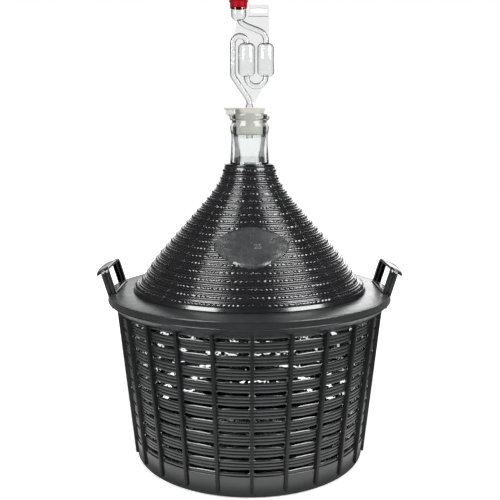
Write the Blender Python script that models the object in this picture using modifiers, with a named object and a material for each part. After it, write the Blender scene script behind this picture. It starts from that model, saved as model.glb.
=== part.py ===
"""A 25 litre glass demijohn in a slatted plastic basket, with its cover, bung and airlock.

Run it with blender --background --python part.py, or from Blender's text editor.
Metres, +Z up, the basket's base at the origin, its two handles on the X axis and the
front of the cover, with its plaque, towards -Y.
"""

import math

import bmesh
import bpy
import numpy as np
from mathutils import Matrix, Vector

# Driving sizes of the basket
rim_radius = 0.204
basket_height = 0.2429
rim_overhang = 0.0095
rib_base_radius = 0.1702
rib_proud = 0.0046
rib_width = 0.0048
rib_foot_height = 0.009
rib_foot_taper = 0.008
slat_wall = 0.003
bays = 24
slot_rows = 11
slot_height = 0.0034
slot_land = 0.003
slot_margin_top = 0.0013
slot_margin_bottom = 0.0048
band_height = 0.0318
band_proud = 0.0014
band_wall = 0.0045
band_edge = 0.004
floor_wall = 0.0036
rim_face = 0.0099
rim_wall = 0.0026
rim_seam = 0.0007
seat_depth = 0.0028
seat_width = 0.003
flare_height = 0.0142
flare_inset_share = 0.7
flare_drop_share = 0.54

# Driving sizes of the handles, in the leaning plane of each
handle_half_width = 0.045
handle_leg = 0.008
handle_depth = 0.0115
handle_height = 0.038
handle_arch = 0.004
handle_inset = 0.0163
handle_lean = math.radians(16.5)
handle_bar = 0.0045
handle_bar_drop = 0.001
handle_root = 0.019
grip_wall = 0.0036
grip_lip = 0.0062
grip_end = 0.001
grip_proud = 0.0006
groove_width = 0.0015
groove_depth = 0.002
groove_inset = 0.0043

# Driving sizes of the collar and the cone of the cover
collar_width = 0.041
collar_rise = 0.0022
collar_wall = 0.0026
notch_gap = 0.0015
cover_base_inset = 0.0358
cover_height = 0.1783
cover_top_radius = 0.0355
cover_wall = 0.0024
cover_band = 0.0057
cover_turn = math.radians(1.5)
cover_rows = 19
first_row = 0.0092
last_row = 0.0056
ridge_height = 0.0018
# A twisted strand, then two plain ridges, each with its groove: shares of the pitch and the height
row_shares = ((0.0, 0.0), (0.2, 0.85), (0.31, 0.28), (0.43, 1.0), (0.57, 0.26), (0.78, 1.0))
cover_shares = (
    (1.0, 0.0),
    (0.9, 0.04),
    (0.832, 0.086),
    (0.741, 0.176),
    (0.649, 0.281),
    (0.557, 0.392),
    (0.466, 0.5),
    (0.374, 0.61),
    (0.283, 0.716),
    (0.191, 0.809),
    (0.1, 0.894),
)
plaque_width = 0.1
plaque_length = 0.066
plaque_height_share = 0.415
plaque_point_share = 1.15
plaque_proud = 0.0004
plaque_wall = 0.0026

# Driving sizes of the glass bottle
glass_wall = 0.0045
glass_clearance = 0.0025
cover_clearance = 0.0015
push_up = 0.006
push_up_shares = ((0.0, 1.0), (0.4, 0.8), (0.66, 0.25))
body_shares = (
    (0.0, 0.76),
    (0.012, 0.84),
    (0.05, 0.925),
    (0.11, 0.975),
    (0.2, 0.995),
    (0.36, 1.0),
    (0.75, 1.0),
    (0.83, 0.995),
    (0.9, 0.978),
    (0.955, 0.937),
)
neck_height = 0.0696
lip_radius = 0.028
neck_shares = (
    (1.0, 0.96),
    (0.98, 1.0),
    (0.9, 0.99),
    (0.88, 0.9),
    (0.84, 0.9),
    (0.77, 0.975),
    (0.68, 0.965),
    (0.58, 0.915),
    (0.4, 0.92),
    (0.2, 0.955),
    (0.0, 0.99),
)
bore_radius = 0.0201
bore_shares = ((0.0, 0.86), (0.2, 0.83), (0.45, 0.92), (0.58, 0.955), (1.0, 1.0))

# Driving sizes of the bung and its tethered plug
bung_rise = 0.0082
bung_depth = 0.028
bung_flange = 0.0225
bung_flange_wall = 0.0014
bung_shoulder = 0.0012
plug_flange = 0.0085
plug_wall = 0.0014
plug_length = 0.0134
plug_radius = 0.0062
plug_tip = 0.0033
plug_reach = 0.0357
plug_angle = math.radians(220.8)
strap_width = 0.006
strap_wall = 0.0011
strap_overlap = 0.001

# Driving sizes of the airlock, measured from the axis of its stem and the top of the bung
tube_radius = 0.0041
tube_wall = 0.001
stem_radius = 0.0053
stem_tip_radius = 0.0046
stem_length = 0.043
waist_height = 0.0105
waist_start_share = 0.7
waist_turn_share = 0.1
riser_offset = 0.0233
riser_foot = 0.0448
riser_head = 0.0893
bend_radius = 0.00965
bulb_radius = 0.012
bulb_height = 0.045
bulb_foot = 0.0442
bulb_round = 0.007
u_radius = 0.0134
u_drop = 0.0003
outlet_shares = (
    (0.0, 0.0),
    (0.0, 0.2),
    (0.09, 0.42),
    (0.25, 0.55),
    (0.5, 0.67),
    (0.74, 0.79),
    (0.91, 0.93),
    (1.0, 1.15),
)
cup_offset = 0.0151
cup_radius = 0.0105
cup_foot = 0.1197
cup_height = 0.0225
cup_round = 0.0075
web_wall = 0.0012
web_right = 0.0272
web_tip = 0.0075
web_tip_rise = 0.0085
web_top = 0.1407
web_corner = 0.003
web_notch = 0.0004
hang_slot_length = 0.024
hang_slot_height = 0.0066
hang_slot_drop = 0.0046

# Driving sizes of the airlock's cap
cap_flange = 0.0134
cap_flange_wall = 0.0037
cap_dome = 0.0008
cap_dome_share = 0.6
cap_skirt = 0.0064
cap_wall = 0.0009

# Shared clearances and drawing values
gap = 0.0003
overrun = 0.002
weld = 0.00001
rim_steps = 48
cover_steps = 32
glass_steps = 32
bung_steps = 24
bulb_steps = 12
bend_steps = 6
corner_steps = 2
arch_steps = 8
plaque_steps = 24
smooth_angle = math.radians(32)
half_bay = math.pi / bays


def clear_scene():
    for item in list(bpy.data.objects):
        bpy.data.objects.remove(item, do_unlink=True)


def new_collection(name):
    made = bpy.data.collections.new(name)
    bpy.context.scene.collection.children.link(made)
    return made


def material(name, colour, roughness, see_through=0.0):
    made = bpy.data.materials.new(name)
    made.use_nodes = True
    shader = made.node_tree.nodes["Principled BSDF"]
    shader.inputs["Base Color"].default_value = (*colour, 1.0)
    shader.inputs["Roughness"].default_value = roughness
    shader.inputs["Transmission Weight"].default_value = see_through
    return made


def add(name, mesh, collection):
    made = bpy.data.objects.new(name, mesh)
    collection.objects.link(made)
    if collection == cutters:
        made.hide_render = True
        made.display_type = "WIRE"
    return made


def finish(item, look):
    """Gives a piece its material and smooth shading with sharp corners kept."""
    item.data.materials.clear()
    item.data.materials.append(look)
    item.data.shade_smooth()
    item.data.set_sharp_from_angle(angle=smooth_angle)


def turned(name, outline, steps, collection, closed=True):
    """A turned solid from (radius, height) points that run down the outer side."""
    mesh = bpy.data.meshes.new(name)
    count = len(outline)
    edges = [(i, i + 1) for i in range(count - 1)]
    if closed:
        edges.append((count - 1, 0))
    mesh.from_pydata([(radius, 0, height) for radius, height in outline], edges, [])
    made = add(name, mesh, collection)
    screw = made.modifiers.new("turn", "SCREW")
    screw.steps = steps
    screw.render_steps = steps
    screw.use_merge_vertices = True
    screw.merge_threshold = weld
    return made


def as_mesh(item):
    """The object's evaluated shape as a plain welded mesh in the cutters' collection."""
    bpy.context.view_layer.update()
    graph = bpy.context.evaluated_depsgraph_get()
    mesh = bpy.data.meshes.new_from_object(item.evaluated_get(graph))
    place = item.matrix_world.copy()
    name = item.name
    bpy.data.objects.remove(item, do_unlink=True)
    shape = bmesh.new()
    shape.from_mesh(mesh)
    bmesh.ops.remove_doubles(shape, verts=shape.verts, dist=weld)
    bmesh.ops.transform(shape, matrix=place, verts=shape.verts)
    bmesh.ops.recalc_face_normals(shape, faces=shape.faces)
    shape.to_mesh(mesh)
    shape.free()
    return add(name, mesh, cutters)


def plate(name, outlines, thickness, place):
    """A flat plate, with the first outline as its edge and any others as its holes."""
    curve = bpy.data.curves.new(name, "CURVE")
    curve.dimensions = "2D"
    curve.fill_mode = "BOTH"
    curve.extrude = thickness / 2
    for outline in outlines:
        spline = curve.splines.new("POLY")
        spline.points.add(len(outline) - 1)
        for point, (x, y) in zip(spline.points, outline):
            point.co = (x, y, 0, 1)
        spline.use_cyclic_u = True
    made = add(name, curve, cutters)
    made.matrix_world = place
    return as_mesh(made)


def tube(name, route, radius, shares=None):
    """A round tube along its route, with a share of its radius at each point."""
    curve = bpy.data.curves.new(name, "CURVE")
    curve.dimensions = "3D"
    curve.bevel_depth = radius
    curve.bevel_resolution = 2
    curve.use_fill_caps = True
    spline = curve.splines.new("POLY")
    spline.points.add(len(route) - 1)
    for i, (point, place) in enumerate(zip(spline.points, route)):
        point.co = (*place, 1)
        point.radius = shares[i] if shares else 1
    return as_mesh(add(name, curve, cutters))


def joined(name, items):
    """One mesh holding several separate bodies, to cut or add them all at once."""
    shape = bmesh.new()
    for item in items:
        shape.from_mesh(item.data)
        bpy.data.objects.remove(item, do_unlink=True)
    mesh = bpy.data.meshes.new(name)
    shape.to_mesh(mesh)
    shape.free()
    return add(name, mesh, cutters)


def boolean(item, other, operation, solver="EXACT"):
    """MANIFOLD takes closed meshes only, and holds where EXACT leaves slivers in long chains."""
    step = item.modifiers.new(operation.lower() + "_" + other.name, "BOOLEAN")
    step.operation = operation
    step.object = other
    step.solver = solver


def box(name, size, place):
    mesh = bpy.data.meshes.new(name)
    shape = bmesh.new()
    bmesh.ops.create_cube(shape, size=1)
    bmesh.ops.scale(shape, vec=Vector(size), verts=shape.verts)
    bmesh.ops.transform(shape, matrix=place, verts=shape.verts)
    shape.to_mesh(mesh)
    shape.free()
    return add(name, mesh, cutters)


def arc(centre_x, centre_y, radius, start, end, steps):
    """Points along a round stretch, from one angle in degrees to another."""
    turns = np.radians(np.linspace(start, end, steps + 1))
    return [(centre_x + radius * math.cos(a), centre_y + radius * math.sin(a)) for a in turns]


def inset(outline, depth):
    """The outline moved inwards, square to the run between each point's neighbours."""
    points = [Vector(p) for p in outline]
    moved = []
    for i, point in enumerate(points):
        run = (points[min(i + 1, len(points) - 1)] - points[max(i - 1, 0)]).normalized()
        moved.append(tuple(point - Vector((-run.y, run.x)) * depth))
    return moved


def along(outline, share):
    """The point at a share of the outline's length."""
    points = np.array(outline)
    steps = np.linalg.norm(np.diff(points, axis=0), axis=1)
    reach = np.concatenate([[0], np.cumsum(steps)])
    wanted = share * reach[-1]
    return np.interp(wanted, reach, points[:, 0]), np.interp(wanted, reach, points[:, 1])


# Shapes that several pieces share
rib_top_radius = rim_radius - rim_overhang
flare_foot = basket_height - rim_face - flare_height
seat_height = basket_height - seat_depth
collar_outer = rim_radius - rim_wall - gap
collar_inner = rim_radius - collar_width
collar_base = seat_height + gap
cover_base_radius = rim_radius - cover_base_inset
grip_low = handle_height - handle_arch / 2 - grip_wall


def rib_outside(height):
    return rib_base_radius + (rib_top_radius - rib_base_radius) * height / basket_height


def slat_outside(height):
    return rib_outside(height) - rib_proud


def slat_inside(height):
    return slat_outside(height) - slat_wall


def free_radius(height):
    """The room for the bottle at the flat middle of a bay."""
    return slat_inside(height) * math.cos(half_bay) - glass_clearance


def collar_top(radius):
    share = (collar_outer - radius) / (collar_outer - collar_inner)
    return basket_height + collar_rise * share


cover_foot = collar_top(cover_base_radius - cover_wall - ridge_height) + gap
cover_top = cover_foot + cover_height
glass_foot = floor_wall + gap
lip_height = cover_top + neck_height
bung_top = lip_height + bung_rise
cup_top = bung_top + cup_foot + cup_height


def cover_outline():
    """The outermost line of the cone, from its top down to the band at its base."""
    width = cover_base_radius - cover_top_radius
    return [
        (cover_top_radius + width * across, cover_foot + cover_height * up)
        for up, across in cover_shares
    ]


def bore_at(height):
    """The radius of the neck's bore at a height above the cover's top."""
    up, across = zip(*bore_shares)
    return bore_radius * np.interp((height - cover_top) / neck_height, up, across)


def make_basket(collection, look):
    wall_top = flare_foot + slat_wall
    wall_foot = band_height - band_edge * 2
    outline = [
        (slat_outside(wall_top), wall_top),
        (slat_outside(wall_foot), wall_foot),
        (slat_inside(wall_foot), wall_foot),
        (slat_inside(wall_top), wall_top),
    ]
    basket = turned("basket", outline, bays, collection)
    boolean(basket, slot_cutters(), "DIFFERENCE", solver="MANIFOLD")
    for other in (rim(), base_band(), ribs(), handle_frame(1), handle_frame(-1)):
        boolean(basket, other, "UNION", solver="MANIFOLD")
    for side in (1, -1):
        boolean(basket, handle_grooves(side), "DIFFERENCE", solver="MANIFOLD")
    finish(basket, look)


def slot_cutters():
    """One long slot in each bay for each row, between the slats."""
    first = flare_foot - slot_margin_top - slot_height / 2
    last = band_height + slot_margin_bottom + slot_height / 2
    slots = []
    for height in np.linspace(first, last, slot_rows):
        middle = (slat_outside(height) + slat_inside(height)) / 2
        length = 2 * (middle * math.sin(half_bay) - rib_width / 2 - slot_land)
        size = (slat_wall + 2 * overrun, length, slot_height)
        for bay in range(bays):
            turn = Matrix.Rotation((2 * bay + 1) * half_bay, 4, "Z")
            move = Matrix.Translation((middle * math.cos(half_bay), 0, height))
            slots.append(box("slot", size, turn @ move))
    return joined("slots", slots)


def base_band():
    """The closed floor and the plain band round it."""
    proud = rib_proud - band_proud
    top = rib_outside(band_height) - proud
    foot = rib_outside(0) - proud
    outline = [
        (0, floor_wall),
        (foot - band_wall - band_edge, floor_wall),
        (foot - band_wall, floor_wall + band_edge),
        (top - band_wall, band_height),
        (top, band_height),
        *arc(foot - band_edge, band_edge, band_edge, 0, -90, corner_steps),
        (0, 0),
    ]
    return as_mesh(turned("band", outline, rim_steps, cutters, closed=False))


def rim():
    """The flare under the rim, its upright face and the seat inside it for the collar."""
    flare = rim_radius - rib_outside(flare_foot)
    face_foot = basket_height - rim_face
    flare_radius = rim_radius - flare * flare_inset_share
    flare_bend = face_foot - flare_height * flare_drop_share
    foot_radius = slat_outside(flare_foot) + rib_proud / 2
    inner_foot = slat_inside(flare_foot) * math.cos(half_bay) - rim_seam
    seat_radius = rim_radius - rim_wall - seat_width
    outline = [
        (rim_radius - rim_wall, basket_height),
        (rim_radius, basket_height),
        (rim_radius, face_foot),
        (flare_radius, flare_bend),
        (foot_radius, flare_foot),
        (inner_foot, flare_foot),
        (inner_foot, flare_foot + 2 * slat_wall),
        (flare_radius - seat_width, flare_bend + seat_width),
        (seat_radius, face_foot + seat_width),
        (seat_radius, seat_height),
        (rim_radius - rim_wall, seat_height),
    ]
    return as_mesh(turned("rim", outline, rim_steps, cutters))


def ribs():
    """The upright ribs, one at each corner of the slatted wall, from a blunt foot to the flare."""
    top = flare_foot + slat_wall / 2
    root = rib_proud + slat_wall / 2
    knee = rib_foot_height + rib_foot_taper
    outline = [
        (rib_outside(rib_foot_height) - root, rib_foot_height),
        (rib_outside(knee), knee),
        (rib_outside(top), top),
        (rib_outside(top) - root, top),
    ]
    made = []
    for corner in range(bays):
        stand = Matrix.Rotation(math.pi / 2, 4, "X")
        turn = Matrix.Rotation(2 * corner * half_bay, 4, "Z")
        made.append(plate("rib", [outline], rib_width, turn @ stand))
    return joined("ribs", made)


def handle_place(side, depth):
    """The leaning plane at a depth into a handle: its x runs along the rim and y up the handle."""
    foot = Vector((side * (rim_radius - handle_inset), 0, basket_height))
    up = Vector((side * math.sin(handle_lean), 0, math.cos(handle_lean)))
    out = Vector((side * math.cos(handle_lean), 0, -math.sin(handle_lean)))
    turn = Matrix((up.cross(out), up, out)).transposed().to_4x4()
    return Matrix.Translation(foot) @ turn @ Matrix.Translation((0, 0, depth))


def arch(half_width, height):
    """Points over the top of a handle, nearly level with rounded shoulders, from right to left."""
    shares = np.linspace(1, -1, arch_steps + 1)
    return [(half_width * s, height + handle_arch * (1 - s**4)) for s in shares]


def handle_frame(side):
    """Two legs, a low bar between them and an arched grip with its outward lip."""
    inner = handle_half_width - handle_leg
    frame = [
        (inner, -handle_root),
        (handle_half_width, -handle_root),
        *arch(handle_half_width, grip_low + grip_wall),
        (-handle_half_width, -handle_root),
        (-inner, -handle_root),
        (-inner, -handle_bar_drop),
        (inner, -handle_bar_drop),
    ]
    opening = [(-inner, handle_bar), (inner, handle_bar), *arch(inner, grip_low)]
    body = plate("handle", [frame, opening], handle_depth, handle_place(side, handle_depth / 2))
    grip_half = handle_half_width + grip_end
    strap = [
        *arch(grip_half, grip_low + grip_wall + grip_proud),
        *reversed(arch(grip_half, grip_low + grip_proud)),
    ]
    depth = handle_depth + grip_lip
    grip = plate("grip", [strap], depth, handle_place(side, (depth - grip_end) / 2))
    boolean(body, grip, "UNION", solver="MANIFOLD")
    return as_mesh(body)


def handle_grooves(side):
    """The long groove down the outer face of each leg."""
    length = grip_low - handle_bar
    size = (2 * groove_depth, length, groove_width)
    place = handle_place(side, groove_inset + groove_width / 2)
    made = []
    for end in (1, -1):
        move = Matrix.Translation((end * handle_half_width, handle_bar + length / 2, 0))
        made.append(box("groove", size, place @ move))
    return joined("grooves", made)


def make_collar(collection, look):
    """The flat satin ring over the rim, notched at the handles."""
    outline = [
        (collar_inner, collar_top(collar_inner)),
        (collar_outer, basket_height),
        (collar_outer, collar_base),
        (collar_outer - seat_width, collar_base),
        (collar_inner, collar_top(collar_inner) - collar_wall),
    ]
    collar = turned("collar", outline, rim_steps, collection)
    chord = rim_radius - handle_inset - notch_gap
    notch_width = 2 * (handle_half_width + notch_gap)
    notch_height = seat_depth + collar_rise + 2 * overrun
    notches = []
    for side in (1, -1):
        place = Matrix.Translation((side * (chord + handle_inset), 0, basket_height))
        notches.append(box("notch", (2 * handle_inset, notch_width, notch_height), place))
    boolean(collar, joined("notches", notches), "DIFFERENCE")
    finish(collar, look)


def make_cover_cone(collection, look):
    """The ribbed cone over the bottle's shoulder, with its plain oval plaque."""
    outer = cover_outline()
    band_top = cover_foot + cover_band
    base_inner = cover_base_radius - cover_wall - ridge_height
    inner = inset(outer, ridge_height + cover_wall)
    outline = [
        (inner[0][0], cover_top),
        outer[0],
        *cover_ridges([*outer, (cover_base_radius, band_top)]),
        (cover_base_radius - ridge_height, band_top),
        (cover_base_radius, band_top),
        (cover_base_radius, cover_foot),
        (base_inner, cover_foot),
        *[(min(radius, base_inner), height) for radius, height in reversed(inner[1:])],
    ]
    cone = turned("cover_cone", outline, cover_steps, collection)
    boolean(cone, plaque(outer), "UNION")
    finish(cone, look)


def cover_ridges(line):
    """The outside of the cone below its plain top ring, row after row down to its band."""
    length = sum(math.dist(start, end) for start, end in zip(line, line[1:]))
    pitch = (length - first_row - last_row) / (cover_rows - 1)
    groove, groove_depth_share = row_shares[1]
    places = [(first_row - groove * pitch, groove_depth_share)]
    for row in range(cover_rows):
        places += [(first_row + pitch * (row + across), deep) for across, deep in row_shares]
    # The band follows straight after the last strand and its groove
    places = places[:2 - len(row_shares)]
    crests = [along(line, reach / length) for reach, deep in places]
    hollows = inset(crests, ridge_height)
    ridged = []
    for crest, hollow, (reach, deep) in zip(crests, hollows, places):
        ridged.append(tuple(np.array(crest) * (1 - deep) + np.array(hollow) * deep))
    return ridged


def plaque(outer):
    """A plain oval patch that follows the cone, with a pointed left and right end."""
    shell_outline = inset(outer, -plaque_proud) + list(reversed(inset(outer, plaque_wall)))
    shell = as_mesh(turned("plaque", shell_outline, cover_steps, cutters))
    middle = cover_foot + cover_height * plaque_height_share
    radii, heights = zip(*reversed(outer))
    radius = np.interp(middle, heights, radii)
    slope = math.atan2(cover_height, cover_base_radius - cover_top_radius)
    edge = []
    for turn in np.linspace(0, 2 * math.pi, plaque_steps, endpoint=False):
        across = math.copysign(abs(math.cos(turn)) ** plaque_point_share, math.cos(turn))
        edge.append((plaque_width / 2 * across, plaque_length / 2 * math.sin(turn)))
    place = Matrix.Translation((0, -radius, middle)) @ Matrix.Rotation(slope, 4, "X")
    prism = plate("oval", [edge], plaque_length, Matrix.Rotation(cover_turn, 4, "Z") @ place)
    boolean(shell, prism, "INTERSECT")
    return shell


def make_glass_bottle(collection, look):
    """The bottle: a push-up base, a full body, a conical shoulder and a thick lipped neck."""
    foot_radius = free_radius(glass_foot)
    foot = [(foot_radius * across, glass_foot + push_up * up) for across, up in push_up_shares]
    body = []
    for up, across in body_shares:
        height = glass_foot + (basket_height - glass_foot) * up
        body.append((free_radius(height) * across, height))
    # The first two points of the cover's line lie round the neck, above the shoulder
    shoulder = inset(cover_outline(), ridge_height + cover_wall + cover_clearance)[2:]
    neck = [(lip_radius * across, cover_top + neck_height * up) for up, across in neck_shares]
    in_collar = (collar_inner - cover_clearance, collar_top(collar_inner) - collar_wall)
    below_neck = [*shoulder, in_collar, *reversed(body), *reversed(foot)]
    inner = [
        (0, glass_foot + push_up + glass_wall),
        *reversed(inset(below_neck, glass_wall)[:-1]),
        *[(bore_radius * across, cover_top + neck_height * up) for up, across in bore_shares],
    ]
    outline = inner + neck + below_neck
    finish(turned("glass_bottle", outline, glass_steps, collection, closed=False), look)


def make_bung(collection, look):
    """The tapered bung with its thin flange and the bore for the airlock."""
    foot = lip_height - bung_depth
    bore = stem_radius + gap
    flange_foot = bung_top - bung_flange_wall
    outline = [
        (bore, bung_top),
        (bung_flange, bung_top),
        (bung_flange, flange_foot),
        (bung_flange - bung_shoulder, flange_foot),
        (bore_at(lip_height) - gap, lip_height),
        (bore_at(foot) - gap * 2, foot),
        (bore, foot),
    ]
    finish(turned("bung", outline, bung_steps, collection), look)


def make_bung_plug(collection, look):
    """The small tapered plug that hangs from the bung's flange on its strap."""
    outline = [
        (0, bung_top),
        (plug_flange, bung_top),
        (plug_flange, bung_top - plug_wall),
        (plug_radius, bung_top - plug_wall),
        (plug_tip, bung_top - plug_length),
        (0, bung_top - plug_length),
    ]
    turn = Matrix.Rotation(plug_angle, 4, "Z")
    disc = as_mesh(turned("disc", outline, bulb_steps, cutters, closed=False))
    disc.data.transform(turn @ Matrix.Translation((plug_reach, 0, 0)))
    start = bung_flange + gap
    length = plug_reach - plug_flange + strap_overlap - start
    middle = bung_top - plug_wall / 2
    place = turn @ Matrix.Translation((start + length / 2, 0, middle))
    strap = box("strap", (length, strap_width, strap_wall), place)
    plug = add("bung_plug", strap.data, collection)
    bpy.data.objects.remove(strap, do_unlink=True)
    # The strap bends at its upper fold, so that its end swings clear of the flange
    hinge = turn @ Vector((start, 0, middle + strap_wall / 2))
    plug.data.transform(Matrix.Translation(-hinge))
    plug.location = hinge
    boolean(plug, disc, "UNION")
    finish(plug, look)


def airlock_routes():
    """The middle lines of the tube's three stretches, in the airlock's own plane."""
    turn_x = bend_radius - riser_offset
    bulb_left = turn_x + bend_radius
    u_x = bulb_left + u_radius
    bulb_right = u_x + u_radius
    bulb_base = bung_top + bulb_foot
    bulb_top = bulb_base + bulb_height
    waist = bung_top + waist_height
    turn_rise = (riser_foot - waist_height) * waist_turn_share
    riser = [
        (0, bung_top - stem_length),
        (0, bung_top),
        (0, bung_top + waist_height * waist_start_share),
        (0, waist),
        (-riser_offset * waist_turn_share, waist + turn_rise),
        (-riser_offset * (1 - waist_turn_share), bung_top + riser_foot - turn_rise),
        (-riser_offset, bung_top + riser_foot),
        *arc(turn_x, bung_top + riser_head, bend_radius, 180, 0, bend_steps),
        (bulb_left, bulb_top - bulb_round),
    ]
    trap = [
        (bulb_left, bulb_base + bulb_round),
        *arc(u_x, bulb_base - u_drop, u_radius, 180, 360, bend_steps),
        (bulb_right, bulb_base + bulb_round),
    ]
    rise = bung_top + cup_foot - bulb_top
    across = -cup_offset - bulb_right
    outlet = [(bulb_right, bulb_top - bulb_round)]
    outlet += [(bulb_right + across * x, bulb_top + rise * y) for x, y in outlet_shares]
    return riser, trap, outlet, (bulb_left, bulb_right)


def capsule(radius, foot, height, rounding, open_top):
    """The outline of a bulb, or of the cup when its top stays open."""
    low = arc(radius - rounding, foot + rounding, rounding, 0, -90, corner_steps)
    high = arc(radius - rounding, foot + height - rounding, rounding, 90, 0, corner_steps)
    if open_top:
        high = [(radius, foot + height)]
    return [(0, foot + height), *high, *low, (0, foot)]


def airlock_bodies(name, shrink):
    """The tube, bulbs and cup as solids, thinner by a wall all round when it's their hollow."""
    *routes, bulb_places = airlock_routes()
    riser, trap, outlet = [[(x, 0, z) for x, z in route] for route in routes]
    radius = tube_radius - shrink
    swell = (stem_radius - shrink) / radius
    swells = [(stem_tip_radius - shrink) / radius, swell, swell] + [1] * (len(riser) - 3)
    if shrink:
        riser[0] = (0, 0, bung_top - stem_length - overrun)
    made = [
        tube(name + "_riser", riser, radius, swells),
        tube(name + "_trap", trap, radius),
        tube(name + "_outlet", outlet, radius),
    ]
    hollow_height = cup_height - shrink + (overrun if shrink else 0)
    cup = capsule(
        cup_radius - shrink, bung_top + cup_foot + shrink, hollow_height, cup_round - shrink, True
    )
    bulb = capsule(
        bulb_radius - shrink,
        bung_top + bulb_foot + shrink,
        bulb_height - 2 * shrink,
        bulb_round - shrink,
        False,
    )
    for x, outline in ((bulb_places[0], bulb), (bulb_places[1], bulb), (-cup_offset, cup)):
        body = as_mesh(turned(name + "_bulb", outline, bulb_steps, cutters, closed=False))
        body.data.transform(Matrix.Translation((x, 0, 0)))
        made.append(body)
    return made


def airlock_web():
    """The flat web that holds the tube's bends together, with its slot to hang it by."""
    left = -riser_offset
    cup_right = cap_flange - cup_offset + web_notch
    notch = cup_top - cap_skirt - overrun
    top = bung_top + web_top
    corner_x = web_right - web_corner
    outline = [
        (web_tip, bung_top + web_tip_rise),
        (web_right, bung_top + bulb_foot),
        *arc(corner_x, top - web_corner, web_corner, 0, 90, corner_steps),
        (cup_right, top),
        (cup_right, notch),
        (-cup_offset, notch),
        (left, bung_top + riser_head),
        (left, bung_top + riser_foot),
        (0, bung_top + waist_height),
    ]
    half = hang_slot_height / 2
    middle = (cup_right + web_right) / 2
    reach = hang_slot_length / 2 - half
    height = top - hang_slot_drop - half
    hole = [
        *arc(middle + reach, height, half, -90, 90, 2 * corner_steps),
        *arc(middle - reach, height, half, 90, 270, 2 * corner_steps),
    ]
    return plate("web", [outline, hole], web_wall, Matrix.Rotation(math.pi / 2, 4, "X"))


def make_airlock_tube(collection, look):
    """The clear tube with its two bulbs, its cup and its web, hollow from stem to cup."""
    first, *others = airlock_bodies("shell", 0)
    airlock = add("airlock_tube", first.data, collection)
    bpy.data.objects.remove(first, do_unlink=True)
    for other in [*others, airlock_web()]:
        boolean(airlock, other, "UNION", solver="MANIFOLD")
    for other in airlock_bodies("hollow", tube_wall):
        boolean(airlock, other, "DIFFERENCE", solver="MANIFOLD")
    finish(airlock, look)


def make_airlock_cap(collection, look):
    """The push-on cap: a skirt over the cup, a flange and a low dome."""
    inner = cup_radius + gap
    outer = inner + cap_wall
    under = cup_top + gap
    flange_top = under + cap_flange_wall
    outline = [
        (0, flange_top + cap_dome),
        (cap_flange * cap_dome_share, flange_top + cap_dome * cap_dome_share),
        (cap_flange, flange_top),
        (cap_flange, under + cap_wall),
        (outer, under),
        (outer, cup_top - cap_skirt),
        (inner, cup_top - cap_skirt),
        (inner, under),
        (0, under),
    ]
    cap = turned("airlock_cap", outline, bung_steps, collection, closed=False)
    cap.location = (-cup_offset, 0, 0)
    finish(cap, look)


clear_scene()
pieces = new_collection("demijohn")
cutters = new_collection("cutters")
make_basket(pieces, material("basket_plastic", (0.02, 0.021, 0.023), 0.4))
make_collar(pieces, material("collar_plastic", (0.024, 0.025, 0.027), 0.45))
make_cover_cone(pieces, material("cover_plastic", (0.012, 0.012, 0.013), 0.22))
make_glass_bottle(pieces, material("bottle_glass", (0.86, 0.95, 0.91), 0.02, 0.95))
make_bung(pieces, material("bung_plastic", (0.86, 0.85, 0.8), 0.45))
make_bung_plug(pieces, material("plug_plastic", (0.87, 0.86, 0.82), 0.45))
make_airlock_tube(pieces, material("airlock_plastic", (0.93, 0.94, 0.95), 0.08, 0.9))
make_airlock_cap(pieces, material("cap_plastic", (0.72, 0.01, 0.03), 0.35))
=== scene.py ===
"""A glass demijohn in a slatted basket, with its ribbed cover, bung and airlock, in their real finish.

It is laid out as an add-on whose panel lists each piece, and is run as a script. Metres, +Z up,
with the front of the cover towards -Y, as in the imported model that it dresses.
"""

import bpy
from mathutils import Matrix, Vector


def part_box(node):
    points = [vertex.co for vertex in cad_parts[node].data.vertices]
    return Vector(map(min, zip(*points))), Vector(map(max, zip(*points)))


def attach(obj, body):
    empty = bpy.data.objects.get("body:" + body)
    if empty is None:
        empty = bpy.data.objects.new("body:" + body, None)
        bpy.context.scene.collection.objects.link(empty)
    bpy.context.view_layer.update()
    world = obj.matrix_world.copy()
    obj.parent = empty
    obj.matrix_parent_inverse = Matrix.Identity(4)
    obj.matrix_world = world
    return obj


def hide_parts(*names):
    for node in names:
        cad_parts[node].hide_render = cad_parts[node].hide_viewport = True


bl_info = {
    "name": "Demijohn in a basket",
    "version": (1, 0, 0),
    "blender": (4, 5, 0),
    "location": "3D View > Sidebar > Demijohn",
    "description": "A glass demijohn in a slatted basket, with a ribbed cover, a bung and an airlock",
    "category": "Add Mesh",
}

import bisect
import math
from functools import partial

import bmesh
import bpy
from bpy.props import FloatProperty, FloatVectorProperty, IntProperty, PointerProperty
from mathutils import Matrix, Vector, noise

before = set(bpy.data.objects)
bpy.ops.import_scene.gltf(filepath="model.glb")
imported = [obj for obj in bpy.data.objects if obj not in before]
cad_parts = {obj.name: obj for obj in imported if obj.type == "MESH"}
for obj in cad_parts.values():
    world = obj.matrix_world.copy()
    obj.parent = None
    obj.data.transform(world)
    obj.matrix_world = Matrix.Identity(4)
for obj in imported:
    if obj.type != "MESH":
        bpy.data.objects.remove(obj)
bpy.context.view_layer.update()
basket_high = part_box("basket")[1]
cone_low, cone_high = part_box("cover_cone")
lip_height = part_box("glass_bottle")[1][2]
bung_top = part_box("bung")[1][2]
cap_low, cap_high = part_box("airlock_cap")
weld = 0.00001
# Room between two pieces that rest on each other, and the steps of the largest turned pieces
gap = 0.0003
fine_steps = 192


def length(description, default):
    return partial(FloatProperty, description=description, default=default, precision=4, unit="LENGTH")


def angle(description, degrees):
    return partial(FloatProperty, description=description, default=math.radians(degrees), subtype="ANGLE")


def count(description, default):
    return partial(IntProperty, description=description, default=default)


def number(description, default):
    return partial(FloatProperty, description=description, default=default)


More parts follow.
